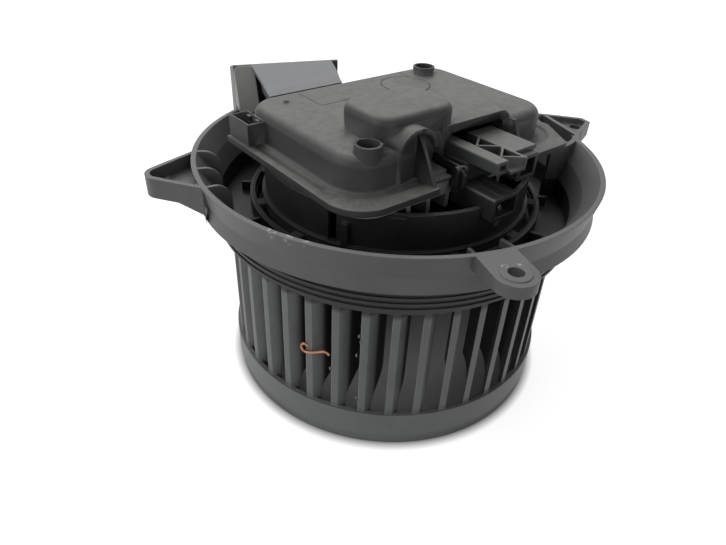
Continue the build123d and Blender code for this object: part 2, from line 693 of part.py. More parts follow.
# Isolator: a soft ring with a slotted web that carries the motor housing in the dish
isolator_r = COLLAR_R - COLLAR_WALL - SLIP
isolator_bore_r = CUP_R + SLIP
with BuildPart() as isolator_ring:
    with BuildSketch(Plane.XY.offset(DISH_FLOOR)):
        Circle(isolator_r)
        Circle(isolator_bore_r, mode=Mode.SUBTRACT)
    extrude(amount=COLLAR_TOP - DISH_FLOOR)
    with BuildSketch(Plane.XY.offset(DISH_FLOOR)):
        Circle(isolator_r - ISOLATOR_WALL)
        Circle(isolator_bore_r + ISOLATOR_WALL, mode=Mode.SUBTRACT)
    extrude(amount=COLLAR_TOP - DISH_FLOOR - ISOLATOR_WEB, mode=Mode.SUBTRACT)
    with BuildSketch(Plane.XY.offset(COLLAR_TOP)):
        Circle(isolator_r - ISOLATOR_WALL / 2)
        Circle(isolator_bore_r + ISOLATOR_WALL, mode=Mode.SUBTRACT)
        with PolarLocations(isolator_r, ISOLATOR_SLOT_COUNT):
            Rectangle(6 * COLLAR_WALL, ISOLATOR_SPOKE, mode=Mode.SUBTRACT)
    extrude(amount=-ISOLATOR_WEB, mode=Mode.SUBTRACT)
save(isolator_ring, "isolator_ring")


# Mounting dish: ears and duct first, then the turned section that runs through them
def ear_outline(tip, tip_r, root_x, root_width):
    """Outline of an ear that narrows from its root line to a round tip."""
    with BuildSketch() as outline:
        with Locations((tip, 0)):
            Circle(tip_r)
        with Locations((root_x, 0)):
            Rectangle(EASY, root_width)
        make_hull(outline.sketch.edges())
    return outline.sketch


ear_root_x = RIM_R - DISH_WALL
left_tip_x = -EAR_PITCH_R
left_flat_x = -EAR_PITCH_R + LEFT_EAR_FLAT
spigot_bottom = -SPIGOT_DEPTH
spigot_inner_r = SPIGOT_R - DISH_WALL
floor_bottom = DISH_FLOOR - DISH_WALL
duct_back_y = DUCT_FRONT_Y + DUCT_DEPTH
rib_foot_r = spigot_inner_r - RIM_RIB_REACH / 4
right_hole = (RIM_R + RIGHT_EAR_HOLE[0], RIGHT_EAR_HOLE[1])
right_wall_start = (RIM_R + RIGHT_EAR_CORNERS[1][0], RIGHT_EAR_CORNERS[1][1] - EAR_WALL / 4)
right_wall_bend = (RIM_R + RIGHT_WALL_BEND[0], RIGHT_WALL_BEND[1])
right_wall_end = (RIM_R + RIGHT_WALL_END[0], RIGHT_WALL_END[1])
right_wall_tail = (RIM_R + RIGHT_WALL_TAIL[0], RIGHT_WALL_TAIL[1])
with BuildSketch() as right_wall:
    with BuildLine():
        ThreePointArc(right_wall_start, right_wall_bend, right_wall_end)
        Line(right_wall_end, right_wall_tail)
        Line(right_wall_tail, (right_wall_tail[0], right_wall_tail[1] + EAR_WALL))
        Line((right_wall_tail[0], right_wall_tail[1] + EAR_WALL), (right_wall_end[0], right_wall_end[1] + EAR_WALL))
        ThreePointArc(
            (right_wall_end[0], right_wall_end[1] + EAR_WALL),
            (right_wall_bend[0] - EAR_WALL / 2, right_wall_bend[1] + EAR_WALL),
            (right_wall_start[0] - EAR_WALL / 2, right_wall_start[1] + EAR_WALL),
        )
        Line((right_wall_start[0] - EAR_WALL / 2, right_wall_start[1] + EAR_WALL), right_wall_start)
    make_face()
with BuildSketch() as right_ear:
    with BuildLine():
        Polyline([(RIM_R + reach, y) for reach, y in RIGHT_EAR_CORNERS], close=True)
    make_face()
with BuildPart() as motor_carrier:
    with BuildSketch(Plane.XY):
        add(ear_outline(left_tip_x, LEFT_EAR_TIP_R, -ear_root_x, 2 * LEFT_EAR_HALF_WIDTH))
    extrude(amount=RIM_HEIGHT)
    with BuildSketch(Plane.XY.offset(LEFT_EAR_FLOOR)):
        add(ear_outline(left_tip_x, LEFT_EAR_TIP_R - EAR_WALL, -ear_root_x,
                        2 * (LEFT_EAR_HALF_WIDTH - EAR_WALL)))
    extrude(amount=RIM_HEIGHT, mode=Mode.SUBTRACT)
    with BuildSketch(Plane.XZ):
        with BuildLine():
            Polyline(
                (-ear_root_x, -EAR_WALL),
                (-ear_root_x, LEFT_EAR_ROOT_UNDERSIDE),
                (left_flat_x, LEFT_EAR_UNDERSIDE),
                (left_tip_x - 2 * LEFT_EAR_TIP_R, LEFT_EAR_UNDERSIDE),
                (left_tip_x - 2 * LEFT_EAR_TIP_R, -EAR_WALL),
                close=True,
            )
        make_face()
    extrude(amount=2 * LEFT_EAR_HALF_WIDTH, both=True, mode=Mode.SUBTRACT)
    with BuildSketch(Plane.XY.offset(RIGHT_EAR_UNDERSIDE)):
        add(right_ear.sketch)
    extrude(amount=RIM_HEIGHT - RIGHT_EAR_UNDERSIDE)
    with BuildSketch(Plane.XY.offset(RIGHT_EAR_FLOOR)):
        offset(right_ear.sketch, -EAR_WALL, kind=Kind.INTERSECTION)
        with Locations((RIM_R + RIGHT_WALL_X, 0)):
            Rectangle(2 * RIM_R, 2 * RIM_R, align=(Align.MAX, Align.CENTER), mode=Mode.SUBTRACT)
    extrude(amount=RIM_HEIGHT, mode=Mode.SUBTRACT)
    with BuildSketch(Plane.XY.offset(RIM_HEIGHT)):
        add(ear_outline(EAR_PITCH_R, FRONT_EAR_END_R, ear_root_x, 2 * FRONT_EAR_END_R), rotation=-90)
    extrude(amount=FRONT_EAR_ROOT_UNDERSIDE - RIM_HEIGHT)
    with BuildSketch(Plane.YZ):
        with BuildLine():
            Polyline(
                (-ear_root_x, FRONT_EAR_ROOT_UNDERSIDE),
                (-EAR_PITCH_R + FRONT_EAR_FLAT, FRONT_EAR_UNDERSIDE),
                (-EAR_PITCH_R - 2 * FRONT_EAR_END_R, FRONT_EAR_UNDERSIDE),
                (-EAR_PITCH_R - 2 * FRONT_EAR_END_R, 0),
                (-ear_root_x, 0),
                close=True,
            )
        make_face()
    extrude(amount=2 * FRONT_EAR_END_R, both=True, mode=Mode.SUBTRACT)
    with BuildSketch(Plane.XY.offset(RIM_HEIGHT)):
        with Locations((0, -EAR_PITCH_R)):
            Circle(EAR_RING_R)
    extrude(amount=EAR_RING_HEIGHT)
    with BuildSketch(Plane.XY):
        with Locations((0, -EAR_PITCH_R), right_hole, (-EAR_PITCH_R, 0)):
            Circle(EAR_HOLE_R)
        Circle(RIM_R - DISH_WALL / 2)
    extrude(amount=RIM_HEIGHT + EAR_RING_HEIGHT, mode=Mode.SUBTRACT)
    with BuildSketch(Plane.YZ.offset(DUCT_LEFT_X)):
        with BuildLine():
            Polyline(
                (DUCT_FRONT_Y, DISH_FLOOR),
                (DUCT_FRONT_Y, DUCT_TOP),
                (DUCT_FRONT_Y + DUCT_WALL, DUCT_TOP),
                (duct_back_y, DUCT_BACK_TOP),
                (duct_back_y, DISH_FLOOR),
                close=True,
            )
        make_face()
    extrude(amount=DUCT_RIGHT_X - DUCT_LEFT_X)
    with BuildSketch(Plane.YZ.offset(DUCT_LEFT_X + DUCT_WALL)):
        with BuildLine():
            Polyline(
                (DUCT_FRONT_Y + DUCT_WALL, DISH_FLOOR),
                (DUCT_FRONT_Y + DUCT_WALL, DUCT_TOP - DUCT_WALL),
                (duct_back_y - DUCT_WALL, DUCT_BACK_TOP - DUCT_WALL),
                (duct_back_y - DUCT_WALL, DISH_FLOOR),
                close=True,
            )
        make_face()
    extrude(amount=DUCT_RIGHT_X - DUCT_LEFT_X - 2 * DUCT_WALL, mode=Mode.SUBTRACT)
    with BuildSketch(Plane.XY):
        Circle(2 * RIM_R)
        Circle(spigot_inner_r, mode=Mode.SUBTRACT)
    extrude(amount=-SPIGOT_DEPTH, mode=Mode.SUBTRACT)
    with BuildSketch(Plane.XZ):
        with BuildLine():
            Polyline(
                (SEAT_R, 0),
                (CREASE_R, CREASE_HEIGHT),
                (RIM_R, RIM_HEIGHT),
                (RIM_R - DISH_WALL, RIM_HEIGHT),
                (FUNNEL_R, FUNNEL_HEIGHT),
                (spigot_inner_r, 0),
                (spigot_inner_r, DISH_FLOOR),
                (COLLAR_R, DISH_FLOOR),
                (COLLAR_R, COLLAR_TOP),
                (COLLAR_R - COLLAR_WALL, COLLAR_TOP),
                (COLLAR_R - COLLAR_WALL, DISH_FLOOR),
                (COLLAR_R - COLLAR_WALL - COLLAR_LEDGE, DISH_FLOOR),
                (COLLAR_R - COLLAR_WALL - COLLAR_LEDGE, floor_bottom),
                (spigot_inner_r, floor_bottom),
                (spigot_inner_r, spigot_bottom),
                (SPIGOT_R, spigot_bottom),
                (SPIGOT_R, 0),
                (FUNNEL_R + 0.8 * DISH_WALL, FUNNEL_HEIGHT - 0.6 * DISH_WALL),
                (RIM_R - 1.6 * DISH_WALL, RIM_HEIGHT - 2.4 * DISH_WALL),
                (CREASE_R - DISH_WALL, CREASE_HEIGHT),
                (SEAT_R - DISH_WALL, 0),
                close=True,
            )
        make_face()
    revolve(axis=Axis.Z)
    for groove in range(SPIGOT_GROOVE_COUNT):
        with BuildSketch(Plane.XY.offset(-SPIGOT_LAND - groove * SPIGOT_GROOVE_PITCH)):
            Circle(SPIGOT_R + SPIGOT_GROOVE)
            Circle(SPIGOT_R - SPIGOT_GROOVE, mode=Mode.SUBTRACT)
        extrude(amount=-SPIGOT_GROOVE_PITCH / 2, mode=Mode.SUBTRACT)
    with BuildSketch(Plane.YZ.offset(DUCT_LEFT_X + DUCT_WALL)):
        with BuildLine():
            Polyline(
                (DUCT_FRONT_Y + DUCT_WALL, FUNNEL_HEIGHT + DISH_WALL),
                (DUCT_FRONT_Y + DUCT_WALL, DUCT_TOP - DUCT_WALL),
                (duct_back_y - DUCT_WALL, DUCT_BACK_TOP - DUCT_WALL),
                (duct_back_y - DUCT_WALL, FUNNEL_HEIGHT + DISH_WALL),
                close=True,
            )
        make_face()
    extrude(amount=DUCT_RIGHT_X - DUCT_LEFT_X - 2 * DUCT_WALL, mode=Mode.SUBTRACT)
    with BuildSketch(Plane.XZ.offset(-DUCT_FRONT_Y - DUCT_WALL)):
        with BuildLine():
            Polyline(
                (DUCT_MOUTH_LEFT_X, DUCT_MOUTH_SILL),
                (DUCT_MOUTH_LEFT_X, DUCT_TOP - 2 * DUCT_WALL),
                (DUCT_RIGHT_X - DUCT_WALL, DUCT_TOP - 2 * DUCT_WALL),
                (DUCT_RIGHT_X - DUCT_WALL, DUCT_MOUTH_SILL),
                close=True,
            )
        make_face()
    extrude(amount=DUCT_WALL, mode=Mode.SUBTRACT)
    with BuildSketch(Plane.XY.offset(DUCT_TOP - DUCT_ROOF_THICKNESS)):
        with Locations(((DUCT_ROOF_LEFT_X + DUCT_ROOF_RIGHT_X) / 2, DUCT_FRONT_Y + DUCT_WALL / 2)):
            Rectangle(DUCT_ROOF_RIGHT_X - DUCT_ROOF_LEFT_X + 2 * SLIP, DUCT_WALL)
    extrude(amount=DUCT_ROOF_THICKNESS, mode=Mode.SUBTRACT)
    with BuildSketch(Plane.XY.offset(DISH_FLOOR)):
        with PolarLocations(COLLAR_R + FLOOR_RIB_LENGTH / 2, FLOOR_RIB_COUNT, start_angle=FLOOR_RIB_START):
            Rectangle(FLOOR_RIB_LENGTH + SLIP, RIB_THICKNESS)
    extrude(amount=FLOOR_RIB_HEIGHT)
    for angle in CHANNEL_RIB_ANGLES:
        with BuildSketch(Plane.XY.offset(DISH_FLOOR)):
            with PolarLocations((COLLAR_R + spigot_inner_r + DISH_WALL) / 2, 1, start_angle=angle):
                Rectangle(spigot_inner_r + DISH_WALL / 2 - COLLAR_R, RIB_THICKNESS)
        extrude(amount=CHANNEL_RIB_TOP - DISH_FLOOR)
    with BuildSketch(Plane.XY.offset(FUNNEL_HEIGHT + DISH_WALL)):
        offset(right_ear.sketch, -EAR_WALL, kind=Kind.INTERSECTION)
        with BuildLine():
            Polyline(
                (ear_root_x - DISH_WALL, right_wall_bend[1]),
                (RIM_R, RIGHT_EAR_CORNERS[1][1]),
                (RIM_R, RIGHT_EAR_CORNERS[-2][1]),
                (ear_root_x - DISH_WALL, RIGHT_EAR_CORNERS[-2][1]),
                close=True,
            )
        make_face()
        with Locations((RIM_R + RIGHT_WALL_X - EAR_WALL, 0)):
            Rectangle(2 * RIM_R, 2 * RIM_R, align=(Align.MIN, Align.CENTER), mode=Mode.SUBTRACT)
    extrude(amount=RIM_HEIGHT, mode=Mode.SUBTRACT)
    for foot, limit_r in (
        (DISH_FLOOR, spigot_inner_r + DISH_WALL / 2),
        (FUNNEL_HEIGHT / 2, FUNNEL_R + DISH_WALL / 4),
        (RIGHT_EAR_UNDERSIDE, 2 * RIM_R),
    ):
        with BuildSketch(Plane.XY.offset(foot)):
            add(right_wall.sketch)
            Circle(limit_r, mode=Mode.INTERSECT)
        extrude(amount=RIM_HEIGHT - foot)
    for angle in (180 - RIM_RIB_PITCH, 180, 180 + RIM_RIB_PITCH):
        with BuildSketch(radial_plane(angle)):
            with BuildLine():
                Line((RIM_R - DISH_WALL / 2, RIM_HEIGHT), (FUNNEL_R + DISH_WALL, RIM_HEIGHT))
                ThreePointArc(
                    (FUNNEL_R + DISH_WALL, RIM_HEIGHT),
                    (FUNNEL_R - RIM_RIB_REACH / 2, RIM_HEIGHT - RIM_RIB_REACH / 2),
                    (rib_foot_r, FUNNEL_HEIGHT),
                )
                Line((rib_foot_r, FUNNEL_HEIGHT), (rib_foot_r, DISH_FLOOR))
                Line((rib_foot_r, DISH_FLOOR), (spigot_inner_r + DISH_WALL / 2, DISH_FLOOR))
                Polyline(
                    (spigot_inner_r + DISH_WALL / 2, DISH_FLOOR),
                    (spigot_inner_r + DISH_WALL / 2, 0),
                    (FUNNEL_R + DISH_WALL / 2, FUNNEL_HEIGHT),
                    (RIM_R - DISH_WALL / 2, RIM_HEIGHT),
                )
            make_face()
        extrude(amount=RIB_THICKNESS / 2, both=True)
save(motor_carrier, "motor_carrier")


# Roof of the duct: a plate let into the duct's front wall, with side walls on the cover's flange
def roof_front_y(x, reach):
    """Row of the roof at x that lies along the control unit's rear edge, reach from its middle."""
    return (reach + x * sin(turn)) / cos(turn)


roof_back_y = DUCT_FRONT_Y + DUCT_WALL - SLIP
roof_under = DUCT_TOP - DUCT_ROOF_THICKNESS
skirt_left_x = DUCT_ROOF_LEFT_X + DUCT_SIDE_INSET
roof_corner_x = DUCT_ROOF_RIGHT_X - DUCT_ROOF_TAPER
skirt_right_x = roof_corner_x - DUCT_SIDE_INSET
roof_wedge = side_plane(0)
with BuildPart() as duct_cover:
    with BuildSketch(Plane.XY.offset(DUCT_TOP)):
        with BuildLine():
            Polyline(
                (DUCT_ROOF_LEFT_X, roof_back_y),
                (DUCT_ROOF_RIGHT_X, roof_back_y),
                (roof_corner_x, roof_front_y(roof_corner_x, ROOF_FRONT_REACH)),
                (DUCT_ROOF_LEFT_X, roof_front_y(DUCT_ROOF_LEFT_X, ROOF_FRONT_REACH)),
                close=True,
            )
        make_face()
    extrude(amount=FLANGE_TOP - DUCT_TOP)
    with BuildSketch(roof_wedge):
        with BuildLine():
            Polyline(
                (0, DUCT_TOP - DUCT_ROOF_DROP),
                (ROOF_BEND_REACH - DUCT_ROOF_BEND, DUCT_TOP - DUCT_ROOF_DROP),
                (ROOF_BEND_REACH, DUCT_TOP),
                (0, DUCT_TOP),
                close=True,
            )
        make_face()
    extrude(amount=2 * RIM_R, both=True, mode=Mode.SUBTRACT)
    with BuildSketch(Plane.XY.offset(roof_under)):
        with BuildLine():
            Polyline(
                (DUCT_ROOF_LEFT_X, roof_back_y),
                (skirt_left_x, roof_back_y),
                (skirt_left_x, 0),
                (DUCT_ROOF_LEFT_X, 0),
                close=True,
            )
        make_face()
        with BuildLine():
            Polyline(
                (DUCT_ROOF_RIGHT_X, roof_back_y),
                (skirt_right_x, roof_back_y),
                (skirt_right_x, 0),
                (DUCT_ROOF_RIGHT_X, 0),
                close=True,
            )
        make_face()
        with BuildLine():
            Polyline(
                (skirt_left_x + DUCT_SIDE_WALL, roof_back_y),
                (skirt_right_x - DUCT_SIDE_WALL, roof_back_y),
                (skirt_right_x - DUCT_SIDE_WALL, 0),
                (skirt_left_x + DUCT_SIDE_WALL, 0),
                close=True,
            )
        make_face()
    extrude(amount=-DUCT_TOP, mode=Mode.SUBTRACT)
    with BuildSketch(Plane.XY.offset(roof_under)):
        with Locations(((skirt_left_x + skirt_right_x) / 2, DUCT_FRONT_Y + DUCT_WALL / 2 - SLIP)):
            Rectangle(skirt_right_x - skirt_left_x, DUCT_WALL)
    extrude(amount=-DUCT_TOP, mode=Mode.SUBTRACT)
save(duct_cover, "duct_cover")

# Heat sink: cast plate between housing and cover, finned below and rimmed above
phase_pin_spots = PolarLocations(PHASE_PIN_PITCH_R, PHASE_PIN_COUNT, start_angle=PHASE_PIN_ANGLE)
with BuildPart() as heat_sink:
    with BuildSketch(control.offset(CUP_TOP)):
        add(rounded(PLATE_HALF_X, PLATE_HALF_Y, PLATE_CORNER_R))
    extrude(amount=flange_bottom - CUP_TOP)
    with BuildSketch(control.offset(plate_top)):
        add(rounded(PLATE_HALF_X - PLATE_RIM_WIDTH, PLATE_HALF_Y - PLATE_RIM_WIDTH,
                    PLATE_CORNER_R - PLATE_RIM_WIDTH))
        with Locations(*COVER_BOSSES):
            Circle(COVER_BOSS_BORE_R, mode=Mode.SUBTRACT)
    extrude(amount=flange_bottom - plate_top, mode=Mode.SUBTRACT)
    with BuildSketch(Plane.XY.offset(plate_top)):
        with housing_screw_spots:
            Circle(2 * HOUSING_SCREW_R + EASY)
    extrude(amount=flange_bottom - plate_top, mode=Mode.SUBTRACT)
    with BuildSketch(control.offset(CUP_TOP)):
        with GridLocations(FIN_PITCH, 0, FIN_COUNT, 1):
            Rectangle(FIN_THICKNESS, 2 * FIN_FIELD_R)
        Circle(FIN_FIELD_R, mode=Mode.INTERSECT)
        add(rounded(PLATE_HALF_X, PLATE_HALF_Y, PLATE_CORNER_R), mode=Mode.INTERSECT)
        Circle(TUBE_FLANGE_R + EASY, mode=Mode.SUBTRACT)
    extrude(amount=-FIN_HEIGHT)
    with BuildSketch(Plane.XY.offset(CUP_TOP)):
        with phase_pin_spots:
            Circle(3 * PHASE_PIN_R)
        with housing_screw_spots:
            Circle(SCREW_BOSS_R + EASY)
    extrude(amount=-FIN_HEIGHT, mode=Mode.SUBTRACT)
    with BuildSketch(Plane.XY.offset(CUP_TOP)):
        Circle(SHAFT_R + 2 * EASY)
        with phase_pin_spots:
            Circle(PHASE_PIN_R + EASY)
        with housing_screw_spots:
            Circle(HOUSING_SCREW_R + EASY)
    extrude(amount=PLATE_THICKNESS, mode=Mode.SUBTRACT)
    with BuildSketch(control.offset(flange_bottom)):
        with Locations(*COVER_BOSSES):
            Circle(COVER_SCREW_R + SLIP)
    extrude(amount=-COVER_SCREW_GRIP, mode=Mode.SUBTRACT)
    with BuildSketch(control.offset(plate_top)):
        with Locations(((HEADER_LEFT_X - LATCH_BAR + HEADER_RIGHT_X) / 2, -PLATE_HALF_Y)):
            Rectangle(HEADER_RIGHT_X - HEADER_LEFT_X + LATCH_BAR + 2 * EASY, 2 * PLATE_RIM_WIDTH)
    extrude(amount=flange_bottom - plate_top, mode=Mode.SUBTRACT)
    with BuildSketch(control.offset(CUP_TOP - FIN_HEIGHT)):
        with Locations(((HEADER_LEFT_X + SHROUD_RIGHT_X) / 2, -FIN_FIELD_R)):
            Rectangle(SHROUD_RIGHT_X - HEADER_LEFT_X + 2 * EASY, 2 * (FIN_FIELD_R + neck_back_y + EASY))
    extrude(amount=FIN_HEIGHT + PLATE_THICKNESS, mode=Mode.SUBTRACT)
save(heat_sink, "heat_sink")

# Circuit board, cut out round the cover's bosses and the connector header
with BuildPart() as circuit_board:
    with BuildSketch(control.offset(board_bottom)):
        add(rounded(BODY_HALF_X - COVER_WALL - BOARD_EDGE_GAP, BODY_HALF_Y - COVER_WALL - BOARD_EDGE_GAP,
                    BODY_CORNER_R - COVER_WALL - BOARD_EDGE_GAP))
        with Locations(*COVER_BOSSES):
            Circle(COVER_BOSS_R + EASY, mode=Mode.SUBTRACT)
        with Locations(((RECESS_LEFT_X + RECESS_RIGHT_X) / 2, -BODY_HALF_Y)):
            Rectangle(RECESS_RIGHT_X - RECESS_LEFT_X + 2 * (COVER_WALL + BOARD_EDGE_GAP),
                      2 * (BODY_HALF_Y + RECESS_BACK_Y + COVER_WALL + BOARD_EDGE_GAP), mode=Mode.SUBTRACT)
    extrude(amount=BOARD_THICKNESS)
    with BuildSketch(Plane.XY.offset(board_bottom)):
        with phase_pin_spots:
            Circle(PHASE_PIN_R + SLIP)
    extrude(amount=BOARD_THICKNESS, mode=Mode.SUBTRACT)
save(circuit_board, "circuit_board")

# Power switches: flat packages between the plate and the board
with BuildPart() as power_switches:
    with BuildSketch(control.offset(plate_top)):
        with Locations(SWITCH_CENTRE):
            with GridLocations(SWITCH_PITCH, SWITCH_PITCH, SWITCH_COUNT // 2, 2):
                Rectangle(SWITCH_SIZE, SWITCH_SIZE)
    extrude(amount=BOARD_LIFT)
save(power_switches, "power_switches")

# Capacitors standing in the cover's block
with BuildPart() as capacitors:
    with BuildSketch(control.offset(board_top)):
        with Locations((BLOCK_X, BLOCK_Y)):
            with GridLocations(2 * CAPACITOR_R + 2 * EASY, 0, CAPACITOR_COUNT, 1):
                Circle(CAPACITOR_R)
    extrude(amount=CAPACITOR_HEIGHT)
    capacitor_tops = capacitors.faces().filter_by(Plane.XY).sort_by(Axis.Z)[-CAPACITOR_COUNT:]
    fillet(capacitor_tops.edges(), CAPACITOR_EDGE_R)
save(capacitors, "capacitors")

# Choke: a wound ring lying on the board
with BuildPart() as choke_coil:
    with BuildSketch(control.offset(board_top)):
        with Locations(MARK_RING_CENTRE):
            Circle(CHOKE_R)
            Circle(CHOKE_HOLE_R, mode=Mode.SUBTRACT)
    extrude(amount=CHOKE_HEIGHT)
    fillet(choke_coil.faces().filter_by(Plane.XY).sort_by(Axis.Z)[-1].edges(), CHOKE_EDGE_R)
save(choke_coil, "choke_coil")

# Phase pins: from the coils up through the plate and the board
coil_top = CORE_BOTTOM + CORE_HEIGHT + COIL_BUILD + EASY
with BuildPart() as phase_pins:
    with BuildSketch(Plane.XY.offset(coil_top)):
        with phase_pin_spots:
            Circle(PHASE_PIN_R)
    extrude(amount=board_top + BOARD_THICKNESS / 2 - coil_top)
save(phase_pins, "phase_pins")

# Terminal pins: along the socket, up behind it and back over the board
terminal_mid_z = (SHROUD_TOP + SHROUD_BOTTOM) / 2
terminal_back_y = RECESS_BACK_Y + COVER_WALL + 2 * BOARD_EDGE_GAP
shroud_middle_x = (HEADER_LEFT_X + SHROUD_RIGHT_X) / 2
terminal_xs = [shroud_middle_x + (n - (PIN_COUNT - 1) / 2) * PIN_PITCH for n in range(PIN_COUNT)]


def terminal_outline(grow):
    """Bent strip seen from the side, grown all round for the channel that holds it."""
    with BuildSketch() as outline:
        with BuildLine():
            Polyline(
                (SHROUD_FRONT_Y + PIN_SETBACK - grow, terminal_mid_z - PIN_WIDTH / 2 - grow),
                (neck_back_y - COVER_WALL + grow, terminal_mid_z - PIN_WIDTH / 2 - grow),
                (neck_back_y - COVER_WALL + grow, board_top - grow),
                (terminal_back_y + grow, board_top - grow),
                (terminal_back_y + grow, board_top + PIN_WIDTH + grow),
                (neck_back_y - COVER_WALL - PIN_WIDTH - grow, board_top + PIN_WIDTH + grow),
                (neck_back_y - COVER_WALL - PIN_WIDTH - grow, terminal_mid_z + PIN_WIDTH / 2 + grow),
                (SHROUD_FRONT_Y + PIN_SETBACK - grow, terminal_mid_z + PIN_WIDTH / 2 + grow),
                close=True,
            )
        make_face()
    return outline.sketch


with BuildPart() as terminal_pins:
    for x in terminal_xs:
        with BuildSketch(side_plane(x)):
            add(terminal_outline(0))
        extrude(amount=PIN_WIDTH / 2, both=True)
save(terminal_pins, "terminal_pins")

